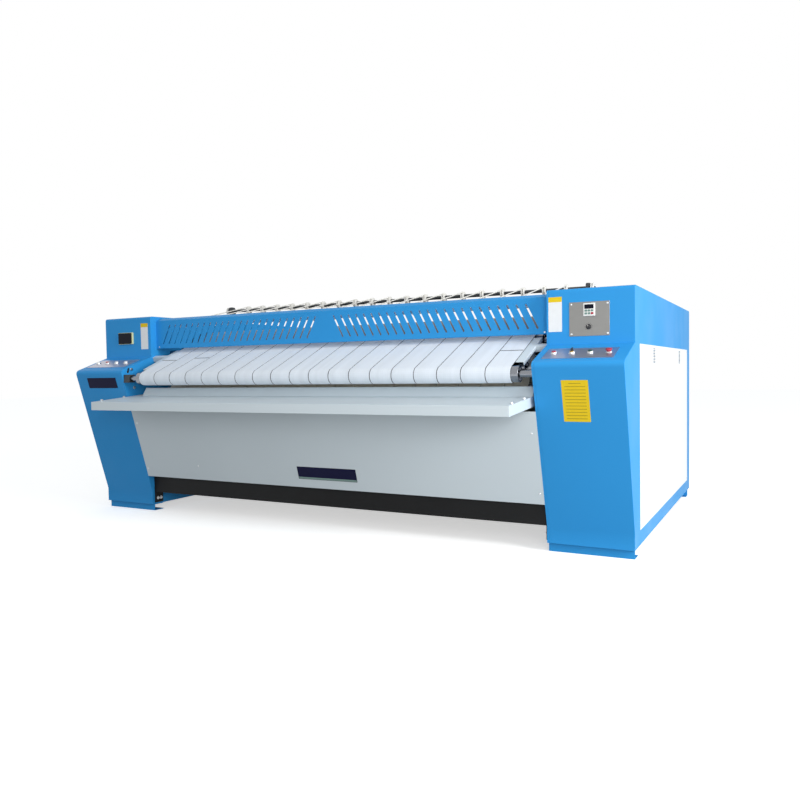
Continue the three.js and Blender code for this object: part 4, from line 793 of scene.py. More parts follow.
class BuildGuard(bpy.types.Operator):
    """Makes the front guard with its slanted slots"""

    bl_idname = "ironer.guard"
    bl_label = "Front guard"

    def execute(self, context):
        sizes = context.scene.ironer_guard
        foot, top = low("front_guard"), high("front_guard")
        fold = top.z - sizes.fold
        span = foot.x, top.x
        bm = bmesh.new()
        line = [(top.y, top.z), (foot.y, fold), (foot.y, foot.z), (foot.y + sizes.hem, foot.z)]
        outer = eased(line, 0.004)
        prism(bm, *([Vector((x, y, z)) for y, z in sheet_outline(outer, SHEET)] for x in span))
        sheet = plain(bm, "Guard sheet")
        z_range = (foot.z + sizes.margin, fold - sizes.margin)
        cutters = [helper("Cutter", slot_cutter(way, sizes, z_range)) for way in (1, -1)]
        pitch = (INNER_X - sizes.last - sizes.lean - sizes.first) / (sizes.slots - 1)
        mesh = grow(
            slots_tree(FINISHES["blue"]), sheet, Cutter=cutters[0], Mirrored_cutter=cutters[1],
            First=sizes.first, Pitch=pitch, Slots=sizes.slots,
        )
        for cutter in cutters:
            bpy.data.objects.remove(cutter)
        finished(mesh, "front_guard_sheet", "blue", "frame", ["front_guard"], flat=True)
        return {"FINISHED"}


def sheet_outline(line, thickness):
    """The outline of a bent sheet: a line of (y, z) points and the same line moved to its left."""
    points = [Vector(p) for p in line]
    normals = []
    for one, other in zip(points, points[1:]):
        way = (other - one).normalized()
        normals.append(Vector((-way.y, way.x)))
    moved = []
    for i, point in enumerate(points):
        before, after = normals[max(i - 1, 0)], normals[min(i, len(normals) - 1)]
        middle_way = (before + after).normalized()
        moved.append(point + middle_way * thickness / middle_way.dot(after))
    return [tuple(p) for p in points] + [tuple(p) for p in reversed(moved)]


def slot_cutter(way, sizes, z_range):
    """A slanted slot with round ends, as a prism through the guard, its top at x 0."""
    bm = bmesh.new()
    top, foot = Vector((0, z_range[1])), Vector((way * sizes.lean, z_range[0]))
    slant = (top - foot).normalized()
    across = Vector((slant.y, -slant.x))
    half = sizes.width / 2
    outline = []
    for end, start in ((top - slant * half, 0.0), (foot + slant * half, math.pi)):
        for i in range(7):
            angle = start + math.pi * i / 6
            outline.append(end + across * half * math.cos(angle) + slant * half * math.sin(angle))
    depths = (GUARD_Y - SHEET * 2, GUARD_Y + SHEET * 3)
    prism(bm, *([Vector((x, y, z)) for x, z in outline] for y in depths))
    return plain(bm, "Slot")


class BuildRollers(bpy.types.Operator):
    """Makes the rollers of both belts and the cord rod, turned, with recessed ends and centre holes"""

    bl_idname = "ironer.rollers"
    bl_label = "Rollers"

    def execute(self, context):
        feed_shaft, guide_shaft = 0.019, 0.015
        for node in ("front_feed_roller", "rear_feed_roller", "tension_roller"):
            self.roller(node, feed_shaft, "roller", 64)
        for node in (
            "entry_roller", "front_return_roller", "lower_front_roller", "lower_rear_roller",
            "exit_roller",
        ):
            self.roller(node, guide_shaft, "steel", 48)
        rod = [(0, low("cord_rod").x), (radius_of("cord_rod"), low("cord_rod").x)]
        rod += [(radius_of("cord_rod"), high("cord_rod").x), (0, high("cord_rod").x)]
        bm = lathe(eased(rod, 0.001), 32, along_x(middle("cord_rod")))
        # The rod is given white enamel: painted highlight, its white standing for the bright reflection of the
        # chromed rod.
        finished(bm, "cord_rod_turned", "white", "cord_rod", ["cord_rod"])
        return {"FINISHED"}

    def roller(self, node, shaft, finish, sides):
        """A tube with an end plate set into each end, on a shaft with a centre hole in each end."""
        tube, wall, recess, bore, dip = radius_of(node), 0.005, 0.014, 0.004, 0.006
        overhang = 0.041  # of the tube beyond the belts
        profile = []
        for way, tube_end in ((-1, BELT_SPAN[0] - overhang), (1, BELT_SPAN[1] + overhang)):
            end, plate = way * high(node).x, tube_end - way * recess
            half = [(0, end - way * dip), (bore, end), (shaft, end), (shaft, plate)]
            half += [(tube - wall, plate), (tube - wall, tube_end), (tube, tube_end)]
            profile += half[::-way]
        bm = lathe(eased(profile, 0.0012), sides, along_x(middle(node)))
        finished(bm, node + "_turned", finish, node, [node])


def row_of_belts(sizes, pulleys, thickness, name, finish, slot, node):
    """Makes belts side by side round pulleys, as one piece. Returns their pitch and width."""
    pitch = (BELT_SPAN[1] - BELT_SPAN[0] + sizes.gap) / sizes.count
    width = pitch - sizes.gap
    mesh = grow(
        belts_tree(FINISHES[finish]),
        path_mesh(belt_path(pulleys, CLEAR + thickness / 2)),
        Width=width,
        Thickness=thickness,
        Edge_radius=sizes.edge_radius,
        Start=BELT_SPAN[0] + width / 2,
        Pitch=pitch,
        Count=sizes.count,
    )
    finished(mesh, name, finish, "frame", [node], flat=True)
    return pitch, width


class BuildFeedBelts(bpy.types.Operator):
    """Makes the canvas belts that carry the linen in, each closed by a lacing"""

    bl_idname = "ironer.feed_belts"
    bl_label = "Feed belts"

    def execute(self, context):
        sizes = context.scene.ironer_belts
        rollers = ("front_feed_roller", "tension_roller", "rear_feed_roller")
        pulleys = [(middle(node), radius_of(node), 1) for node in rollers]
        names = ("feed_belts_canvas", "canvas", "white_canvas", "feed_belts")
        self.joints(sizes, pulleys, *row_of_belts(sizes, pulleys, sizes.feed_thickness, *names))
        return {"FINISHED"}

    def joints(self, sizes, pulleys, pitch, width):
        """A steel lacing across each belt: three lie on the upper run, as used belts happen to stop."""
        nose, rear = pulleys[0][0], pulleys[2][0]
        slope = Vector((0, rear.y - nose.y, rear.z - nose.z)).normalized()
        facing = Vector((0, -slope.z, slope.y))
        surface = pulleys[0][1] + CLEAR + sizes.feed_thickness
        shown = {0: 0.215, 2: 0.245, 18: 0.225}  # belt number and distance up the slope, in metres
        bm = bmesh.new()
        for belt in range(sizes.count):
            x = BELT_SPAN[0] + belt * pitch + width / 2
            if belt in shown:
                origin = nose + slope * shown[belt] + facing * surface
                out, up = facing, slope
            else:
                run = Vector((0, pulleys[1][0].y - rear.y, pulleys[1][0].z - rear.z)).normalized()
                out, up = Vector((0, -run.z, run.y)), run
                share = 0.35 + 0.3 * ((belt * 7) % 19) / 19
                centre = rear.lerp(pulleys[1][0], share)
                origin = centre + out * surface
            origin.x = x
            block(bm, origin, out, up, width * 0.96, sizes.joint_length, sizes.joint_height, 0.001, 0.001, 2)
        finished(bm, "feed_belt_lacings", "iron", "frame")


class BuildIroningBelts(bpy.types.Operator):
    """Makes the felt belts that press the linen to the drums"""

    bl_idname = "ironer.ironing_belts"
    bl_label = "Ironing belts"

    def execute(self, context):
        sizes = context.scene.ironer_belts
        lower = [(node, 1) for node in ("lower_front_roller", "lower_rear_roller", "exit_roller")]
        upper = [("rear_drum", -1), ("front_drum", -1), ("entry_roller", 1), ("front_return_roller", 1)]
        pulleys = [(middle(node), radius_of(node), turn) for node, turn in lower + upper]
        names = ("ironing_belts_felt", "felt", "beige_canvas", "ironing_belts")
        row_of_belts(sizes, pulleys, sizes.ironing_thickness, *names)
        return {"FINISHED"}


class BuildDrums(bpy.types.Operator):
    """Makes the drums, their bearings and the drive that turns them"""

    bl_idname = "ironer.drums"
    bl_label = "Drums and drive"

    def execute(self, context):
        for which in ("front", "rear"):
            self.drum(f"{which}_drum")
            for side in ("left", "right"):
                refined(f"{which}_drum_bearing_{side}", "iron", bevel=0.004)
            refined(f"{which}_drum_sprocket", "steel", bevel=0.0008)
        refined("motor_sprocket", "steel", bevel=0.0008)
        refined("gear_motor", "iron", bevel=0.006)
        self.chain()
        return {"FINISHED"}

    def drum(self, node):
        """A ground shell on webbed ends, on a hollow shaft."""
        half, web, wall = 1.530, 1.504, 0.014
        drum, hub, shaft, bore = radius_of(node), 0.080, 0.045, 0.016
        rim = drum - wall
        profile = []
        for way, end in ((-1, low(node).x), (1, high(node).x)):
            part = [(bore, end), (shaft, end), (shaft, way * half), (hub, way * half), (hub, way * web)]
            part += [(rim, way * web), (rim, way * half), (drum, way * half)]
            profile += part[::-way]
        inside = web - wall
        profile += [(bore, inside), (rim, inside), (rim, -inside), (bore, -inside)]
        bm = lathe(profile, 128, along_x(middle(node)))
        finished(bm, node + "_turned", "drum", node, [node], bevel=0.002)

    def chain(self):
        """Links round the three sprockets: two side plates and the roller that joins them."""
        depth = 0.012
        nodes = ("motor_sprocket", "rear_drum_sprocket", "front_drum_sprocket")
        pulleys = [(middle(node), radius_of(node), 1) for node in nodes]
        path = belt_path(pulleys, CLEAR + depth / 2)
        centre = middle("drive_chain")
        half = (high("drive_chain").x - low("drive_chain").x) / 2
        bm = bmesh.new()
        for way in (-1, 1):
            origin = Vector((way * half, 0, 0))
            outwards = Vector((way, 0, 0))
            block(bm, origin, outwards, UP, 0.026, depth, 0, 0.0055, 0.003, 4)
        pin = lathe([(0, -half), (0.004, -half), (0.004, half), (0, half)], 12, along_x(Vector()))
        bm.from_mesh(plain(pin, "Pin"))
        link_object = helper("Link", plain(bm, "Link"))
        mesh = grow(links_tree(FINISHES["iron"]), path_mesh(path), Link=link_object, Pitch=0.0254)
        bpy.data.objects.remove(link_object)
        mesh.transform(Matrix.Translation((centre.x, 0, 0)))
        finished(mesh, "drive_chain_links", "iron", "frame", ["drive_chain"])


class BuildCordGuides(bpy.types.Operator):
    """Makes the guide shaft with its rings and brackets, and the cords that run down to the cord rod"""

    bl_idname = "ironer.cord_guides"
    bl_label = "Cord guides"

    def execute(self, context):
        sizes = context.scene.ironer_cords
        first, last = -INNER_X + sizes.first, INNER_X - sizes.last
        step = (last - first) / (sizes.rings - 1)
        inner_rows = [first + i * step for i in range(sizes.rings)]
        outer_row = [-INNER_X - sizes.outer, INNER_X + sizes.outer]
        self.shaft(sizes)
        rows = (("inner", inner_rows, sizes.tube_radius), ("outer", outer_row, sizes.stub_radius))
        for label, xs, bore in rows:
            self.rings(label, xs, bore, sizes)
        self.cords(inner_rows, sizes)
        for side in ("left", "right"):
            refined(f"{side}_shaft_bracket", "iron", bevel=0.0015)
        return {"FINISHED"}

    def shaft(self, sizes):
        """A dark tube between the brackets with a turned stub at each end."""
        end, stub, tube = high("guide_shaft").x, sizes.stub_radius, sizes.tube_radius
        inner = low("right_shaft_bracket").x - 0.010
        half = [(tube, inner), (stub, inner), (stub, end), (0, end)]
        profile = [(radius, -along) for radius, along in reversed(half)] + half
        bm = lathe(eased(profile, 0.001), 32, along_x(middle("guide_shaft")))
        finished(bm, "guide_shaft_tube", "iron", "guide_shaft", ["guide_shaft"])

    def rings(self, label, xs, bore, sizes):
        """White nylon rings with a round groove for the cord."""
        centre = middle("guide_shaft")
        rim, half = radius_of("guide_shaft"), sizes.ring_width / 2
        cord = sizes.cord_diameter / 2
        lip = half * 0.35
        groove = [
            (rim - cord * 2.2 * math.sin(math.pi * i / 8), -lip + 2 * lip * i / 8) for i in range(9)
        ]
        profile = [(bore, -half), (rim - 0.003, -half), (rim, -half + 0.003), *groove]
        profile += [(rim, half - 0.003), (rim - 0.003, half), (bore, half)]
        bm = lathe(profile, 40, along_x(centre))
        ring = plain(bm, "Ring")
        row = helper("Row", point_row(xs))
        mesh = grow(row_tree("Rings on a shaft", FINISHES["nylon"]), ring, Row=row)
        bpy.data.objects.remove(row)
        finished(mesh, f"guide_rings_{label}", "nylon", "guide_shaft")

    def cords(self, xs, sizes):
        """Closed taut cords from the rings' grooves to the cord rod."""
        seat = radius_of("guide_shaft") - sizes.cord_diameter * 1.1
        pulleys = [(middle("cord_rod"), radius_of("cord_rod"), 1), (middle("guide_shaft"), seat, 1)]
        path = belt_path(pulleys, sizes.cord_diameter / 2, math.radians(12))
        row = helper("Row", point_row(xs))
        mesh = grow(cords_tree(FINISHES["cord"]), path_mesh(path), Diameter=sizes.cord_diameter, Row=row)
        bpy.data.objects.remove(row)
        finished(mesh, "guide_cords", "cord", "frame")


def point_row(xs):
    """Loose vertices along x."""
    mesh = bpy.data.meshes.new("Row")
    mesh.from_pydata([(x, 0, 0) for x in xs], [], [])
    return mesh


def stem_of(radius):
    """The narrow stem under a button, from inside its plate."""
    return [(0, -0.028), (radius * 0.6, -0.028), (radius * 0.6, -0.004)]


class BuildConsoles(bpy.types.Operator):
    """Makes the console plates, their buttons with bezels, the selector and the stop button"""

    bl_idname = "ironer.consoles"
    bl_label = "Consoles"

    def execute(self, context):
        sizes = context.scene.ironer_controls
        refined("left_console_plate", "console", bevel=0.0005)
        refined("right_console_plate", "console", bevel=0.0005)
        caps = {f"left_button_{i}": "white_abs" for i in (1, 2, 3, 4)}
        caps["left_button_2"] = "red_abs"
        caps["right_button_red"] = "red_abs"
        caps["right_button_green"] = "green_abs"
        for node, finish in caps.items():
            self.push_button(node, finish, sizes)
        self.selector(sizes)
        self.stop_button(sizes)
        return {"FINISHED"}

    def seat(self, centre):
        """Where the axis through a point meets the upper face of that side's console plate."""
        plate = middle(("left" if centre.x < 0 else "right") + "_console_plate")
        face = plate + SLOPE_FACING * 0.001
        return centre - SLOPE_FACING * (centre - face).dot(SLOPE_FACING)

    def bezel(self, node, seat, sizes, rise):
        """A chromed ring with a white collar in it, fixed to the plate."""
        bore, outer = sizes.button_radius + 0.0006, sizes.bezel_radius
        place = out_of(seat, SLOPE_FACING, UP_SLOPE)
        ring = [
            (outer - 0.004, 0.0002), (outer, 0.0002), (outer, rise * 0.6), (outer - 0.0015, rise),
            (outer - 0.004, rise),
        ]
        finished(lathe(ring, 40, place), node + "_bezel", "zinc", "frame")
        collar = [
            (bore, 0.0002), (outer - 0.0042, 0.0002), (outer - 0.0042, rise + 0.0015),
            (outer - 0.0052, rise + 0.0025), (bore + 0.0004, rise + 0.0025), (bore, rise + 0.002),
        ]
        finished(lathe(collar, 40, place), node + "_collar", "white_abs", "frame")

    def push_button(self, node, finish, sizes):
        seat = self.seat(middle(node))
        self.bezel(node, seat, sizes, sizes.bezel_height)
        cap, top = sizes.button_radius, 0.013
        profile = stem_of(cap) + [
            (cap, -0.004), (cap, top - 0.0015), (cap - 0.0015, top), (cap * 0.7, top - 0.0004),
            (0, top - 0.0012),
        ]
        bm = lathe(profile, 40, out_of(seat, SLOPE_FACING, UP_SLOPE))
        finished(bm, node + "_cap", finish, BODY_OF[node], [node])

    def selector(self, sizes):
        """A turned collar with a lever handle across it."""
        node = "selector_switch"
        joints = FRAME["record"]["behaviour"]["joints"]
        axis = next(row["pos_m"] for row in joints if row["child"] == node)
        seat = self.seat(Vector(axis))
        self.bezel(node, seat, sizes, sizes.bezel_height)
        knob = sizes.button_radius
        profile = stem_of(knob) + [(knob, -0.004), (knob, 0.011), (knob - 0.002, 0.013), (0, 0.013)]
        place = out_of(seat, SLOPE_FACING, UP_SLOPE)
        bm = lathe(profile, 40, place)
        finished(bm, node + "_collar_turned", "brass", node, [node])
        lever = bmesh.new()
        block(lever, place(0.010, 0, 0.006), SLOPE_FACING, UP_SLOPE, 0.007, 0.034, 0.015, 0.0034, 0.002, 5)
        finished(lever, "selector_lever", "black_abs", node, bevel=0.0012)

    def stop_button(self, sizes):
        """A mushroom head on a stem."""
        node = "stop_button"
        seat = self.seat(middle(node))
        # The head comes down 5 mm, so this ring is lower than the others.
        self.bezel(node, seat, sizes, 0.0025)
        stem, head = sizes.button_radius, sizes.mushroom_radius
        rim, crown = 0.018, 0.005  # where the head's crown begins, and how far it rises
        profile = stem_of(stem)
        profile += [(stem * 0.9, -0.004), (stem * 0.9, 0.013), (head, 0.0132), (head, rim)]
        turns = [math.pi / 2 * i / 6 for i in range(1, 6)]
        profile += [(head * math.cos(turn), rim + crown * math.sin(turn)) for turn in turns]
        bm = lathe(profile + [(0, rim + crown)], 48, out_of(seat, SLOPE_FACING, UP_SLOPE))
        finished(bm, node + "_mushroom", "red_abs", node, [node])


class BuildHeadControls(bpy.types.Operator):
    """Makes the control plate with its keypad and speed knob, and the display of the left head"""

    bl_idname = "ironer.head_controls"
    bl_label = "Head controls"

    def execute(self, context):
        refined("control_plate", "stainless", bevel=0.0006)
        self.keypad()
        self.knob(context.scene.ironer_controls)
        self.display()
        return {"FINISHED"}

    def keypad(self):
        """A white unit with a dark window over two rows of keys."""
        foot, top = low("keypad_unit"), high("keypad_unit")
        refined("keypad_unit", "white_abs", bevel=0.002)
        face_y, width, height = foot.y, top.x - foot.x, top.z - foot.z
        centre_x = (foot.x + top.x) / 2
        window = bmesh.new()
        origin = Vector((centre_x, face_y, top.z - height * 0.27))
        block(window, origin, HEAD_FACING, UP, width * 0.8, height * 0.34, 0.0008, 0.003, 0.001)
        finished(window, "keypad_window", "screen", "frame", bevel=0.0003)
        finishes = (("grey_abs", "grey_abs", "grey_abs"), ("grey_abs", "grey_abs", "red_abs"))
        for row, names in enumerate(finishes):
            for column, finish in enumerate(names):
                x = centre_x + (column - 1) * width * 0.27
                z = top.z - height * (0.58 + 0.22 * row)
                key, place = bmesh.new(), Vector((x, face_y, z))
                block(key, place, HEAD_FACING, UP, width * 0.22, height * 0.16, 0.0014, 0.002, 0.001)
                name = f"keypad_key_{row + 1}_{column + 1}"
                finished(key, name, finish, "frame", bevel=0.0005)

    def knob(self, sizes):
        """A fluted knob on its skirt, with a pale pointer, and a ring of ticks on the plate."""
        node = "speed_knob"
        centre = middle(node)
        face = low("control_plate").y
        origin = Vector((centre.x, face, centre.z))
        place = out_of(origin, HEAD_FACING, UP)
        rim, top = sizes.knob_radius, face - low(node).y
        bm = bmesh.new()
        rings = []
        for radius, along, flute in (
            (0, -0.012, 0),
            (rim * 0.5, -0.012, 0),
            (rim * 0.5, 0.0006, 0),
            (rim, 0.0006, 0),
            (rim, 0.004, 0),
            (rim * 0.86, 0.0045, 0.0006),
            (rim * 0.82, top - 0.0015, 0.0006),
            (rim * 0.72, top, 0),
            (0, top, 0),
        ):
            if radius == 0:
                rings.append([place(along, 0, 0)])
                continue
            turns = [2 * math.pi * i / 48 for i in range(48)]
            grip = [radius + flute * (1 if i % 4 < 2 else -1) for i in range(48)]
            rings.append([place(along, r * math.cos(a), r * math.sin(a)) for r, a in zip(grip, turns)])
        skin(bm, rings)
        finished(bm, "speed_knob_grip", "black_abs", node, [node])
        pointer = bmesh.new()
        block(pointer, place(top, 0, rim * 0.42), HEAD_FACING, UP, 0.002, rim * 0.55, 0.0004, 0.0008, 0.0005)
        finished(pointer, "speed_knob_pointer", "white_abs", node)
        ticks = bmesh.new()
        for angle in [math.radians(a) for a in range(-135, 136, 27)]:
            out = Vector((math.sin(angle), 0, math.cos(angle)))
            block(ticks, origin + out * rim * 1.45, HEAD_FACING, out, 0.0014, 0.005, 0.0003, 0, 0.0002)
        finished(ticks, "speed_scale_ticks", "black_abs", "frame")

    def display(self):
        """A cream housing with a dark window."""
        foot, top = low("left_display"), high("left_display")
        refined("left_display", "cream_abs", bevel=0.0015)
        width, height = top.x - foot.x, top.z - foot.z
        window = bmesh.new()
        origin = Vector(((foot.x + top.x) / 2 - width * 0.04, foot.y, (foot.z + top.z) / 2))
        block(window, origin, HEAD_FACING, UP, width * 0.9, height * 0.94, 0.002, 0.004, 0.0028)
        finished(window, "left_display_window", "screen", "frame", bevel=0.0008)


class BuildLabels(bpy.types.Operator):
    """Makes the bare stickers and plates"""

    bl_idname = "ironer.labels"
    bl_label = "Stickers and plates"

    def execute(self, context):
        band = 0.029  # height of the coloured band at a sticker's top
        heads = (("right", (1.571, 1.649), (1.260, 1.457)), ("left", (-1.662, -1.587), (1.250, 1.449)))
        for side, xs, zs in heads:
            self.sticker(f"{side}_head_sticker", xs, zs, "white_vinyl", 0.0)
            self.sticker(f"{side}_head_band", xs, (zs[1] - band, zs[1]), "yellow_vinyl", 0.0003)
        notice = (1.715, 1.859), (0.765, 0.990)
        self.lean_plate("right_front_sticker", *notice, "yellow_vinyl", 0.0003)
        self.rules("right_front_rules", *notice, 12)
        self.lean_plate("left_front_plate", (-1.940, -1.635), (0.957, 1.034), "dark_vinyl", 0.0015)
        self.lean_plate("name_plate", (-0.135, 0.325), (0.337, 0.423), "dark_vinyl", 0.0015)
        self.lean_plate("name_plate_foot", (-0.133, 0.323), (0.339, 0.352), "grey_abs", 0.0019)
        return {"FINISHED"}

    def sticker(self, name, xs, zs, finish, lift):
        bm = bmesh.new()
        origin = Vector((sum(xs) / 2, HEAD_Y - lift, sum(zs) / 2))
        block(bm, origin, HEAD_FACING, UP, xs[1] - xs[0], zs[1] - zs[0], 0.0004, 0.003, 0.0002)
        finished(bm, name, finish, "frame")

    def rules(self, name, xs, zs, count):
        """Plain bars in place of a sticker's lines."""
        bm = bmesh.new()
        width = xs[1] - xs[0]
        for i in range(count):
            z = zs[1] - (zs[1] - zs[0]) * (i + 1) / (count + 1)
            bar = width * (0.45 if i == 0 else 0.78)
            block(bm, on_lean(sum(xs) / 2, z, 0.0003), LEAN_FACING, LEAN_UP, bar, 0.0035, 0.0002, 0, 0.0001)
        finished(bm, name, "rule_ink", "frame")

    def lean_plate(self, name, xs, zs, finish, thickness):
        bm = bmesh.new()
        origin = on_lean(sum(xs) / 2, sum(zs) / 2)
        height = (zs[1] - zs[0]) * math.hypot(1, LEAN)
        block(bm, origin, LEAN_FACING, LEAN_UP, xs[1] - xs[0], height, thickness, 0.003, 0.0002)
        finished(bm, name, finish, "frame")


class BuildFasteners(bpy.types.Operator):
    """Puts screws and bolts on the covers, plates and brackets"""

    bl_idname = "ironer.fasteners"
    bl_label = "Screws and bolts"

    def execute(self, context):
        sizes = context.scene.ironer_fasteners
        screws = self.guard_screws() + self.panel_screws() + self.plate_screws()
        bolts = self.frame_bolts() + self.table_bolts()
        rows = (("cover_screws", self.pan_head, screws), ("frame_bolts", self.hexagon_head, bolts))
        for name, head_of, places in rows:
            head = helper("Head", head_of(sizes))
            mesh = grow(fasteners_tree(FINISHES["zinc"]), self.points(places), Head=head)
            bpy.data.objects.remove(head)
            finished(mesh, name, "zinc", "frame")
        return {"FINISHED"}

    def points(self, places):
        """Vertices with the way that each fastener faces."""
        mesh = bpy.data.meshes.new("Places")
        mesh.from_pydata([tuple(place) for place, _ in places], [], [])
        facing = mesh.attributes.new("facing", "FLOAT_VECTOR", "POINT")
        for value, (_, way) in zip(facing.data, places):
            value.vector = way
        return mesh

    def pan_head(self, sizes):
        """A domed head with a cross recess."""
        radius, height = sizes.screw_radius, sizes.screw_height
        turns = [2 * math.pi * i / 12 for i in range(12)]

        def ring(r, z, pattern=(1, 1, 1)):
            reaches = [r * pattern[i % 3] for i in range(12)]
            return [Vector((k * math.cos(a), k * math.sin(a), z)) for k, a in zip(reaches, turns)]

        cross = (1, 0.42, 0.42)
        bm = bmesh.new()
        rings = [
            [Vector((0, 0, -BURIED))],
            ring(radius, -BURIED),
            ring(radius, height * 0.35),
            ring(radius * 0.85, height * 0.8),
            ring(radius * 0.6, height),
            ring(radius * 0.5, height, cross),
            ring(radius * 0.4, height * 0.45, cross),
            [Vector((0, 0, height * 0.4))],
        ]
        skin(bm, rings)
        return plain(bm, "Head")

    def hexagon_head(self, sizes):
        """A hexagon head with a chamfered top on a round washer."""
        radius, height = sizes.bolt_radius, sizes.bolt_height
        bm = bmesh.new()

        def ring(r, z, flats=False):
            points = []
            for i in range(24):
                angle = 2 * math.pi * i / 24
                reach = r
                if flats:
                    off = (angle + math.pi / 6) % (math.pi / 3) - math.pi / 6
                    reach = r * math.cos(math.pi / 6) / math.cos(off)
                points.append(Vector((reach * math.cos(angle), reach * math.sin(angle), z)))
            return points

        rings = [
            [Vector((0, 0, -BURIED))],
            ring(radius * 1.35, -BURIED),
            ring(radius * 1.35, 0.0012),
            ring(radius * 1.02, 0.0013),
            ring(radius, 0.0014, True),
            ring(radius, height * 0.85, True),
            ring(radius * 0.84, height),
            [Vector((0, 0, height))],
        ]
        skin(bm, rings)
        return plain(bm, "Head")

    def guard_screws(self):
        """One in each lower corner of the guard's ends."""
        z = low("front_guard").z + 0.012
        return [(Vector((way * (INNER_X - 0.030), GUARD_Y, z)), HEAD_FACING) for way in (-1, 1)]

    def table_bolts(self):
        """Two at each end of the feed table, into its flanges."""
        foot = low("feed_table")
        slope = 30 / 384  # the table's rise over its depth
        facing = Vector((0, -slope, 1)).normalized()
        out = []
        for x in (-1.525, 1.525):
            for y in (-1.377, -1.178):
                out.append((Vector((x, y, 0.868 + slope * (y - foot.y))), facing))
        return out

    def panel_screws(self):
        """Along the ends of the front panel, and of the rear one."""
        places = [(-1.019, 0.383), (-1.540, 0.342), (-1.530, 0.694), (1.537, 0.342), (1.524, 0.694)]
        front = [(on_lean(x, z), LEAN_FACING) for x, z in places]
        back = Vector((0, 1, 0))
        rear_y = high("rear_panel").y
        columns, heights = (-1.52, -0.76, 0, 0.76, 1.52), (0.31, 0.79)
        rear = [(Vector((x, rear_y, z)), back) for x in columns for z in heights]
        return front + rear

    def plate_screws(self):
        """In the corners of the control plate and the side panels, and midway along the side panels' top and
        bottom edges.
        """
        out = []
        foot, top = low("control_plate"), high("control_plate")
        for x in (foot.x + 0.012, top.x - 0.012):
            for z in (foot.z + 0.012, top.z - 0.012):
                out.append((Vector((x, foot.y, z)), HEAD_FACING))
        for side in ("left", "right"):
            node = f"{side}_side_panel"
            foot, top = low(node), high(node)
            facing = Vector((-1 if side == "left" else 1, 0, 0))
            x = foot.x if side == "left" else top.x
            for y in (foot.y + 0.02, (foot.y + top.y) / 2, top.y - 0.02):
                for z in (foot.z + 0.02, top.z - 0.02):
                    out.append((Vector((x, y, z)), facing))
        return out

    def frame_bolts(self):
        """On the beam's brackets and the left inner wall."""
        places = []
        for node in ("base_beam", "rear_beam"):
            foot, top = low(node), high(node)
            for way in (-1, 1):
                x = way * (INNER_X - 0.0103)
                for y in (foot.y + 0.025, top.y - 0.025):
                    places.append((Vector((x, y, foot.z + 0.035)), Vector((-way, 0, 0))))
        wall = Vector((1, 0, 0))
        for y, z in ((-0.197, 1.095), (-0.174, 0.958)):
            places.append((Vector((-INNER_X, HEAD_Y + y, z)), wall))
        return places


class BuildWallFittings(bpy.types.Operator):
    """Finishes the bearing block on the left wall and the adjusting slot above it"""

    bl_idname = "ironer.wall_fittings"
    bl_label = "Wall fittings"

    def execute(self, context):
        refined("left_roller_bearing", "iron", bevel=0.003)
        # The slot is a thin black plate on the wall: painted shade for the dark hollow of the slot.
        slot = bmesh.new()
        origin = Vector((-INNER_X, HEAD_Y - 0.227, 1.086))
        up = Vector((0, 0.35, 0.94)).normalized()
        block(slot, origin, Vector((1, 0, 0)), up, 0.016, 0.040, 0.0006, 0.0075, 0.0002, 6)
        finished(slot, "left_wall_slot", "hole", "frame")
        return {"FINISHED"}


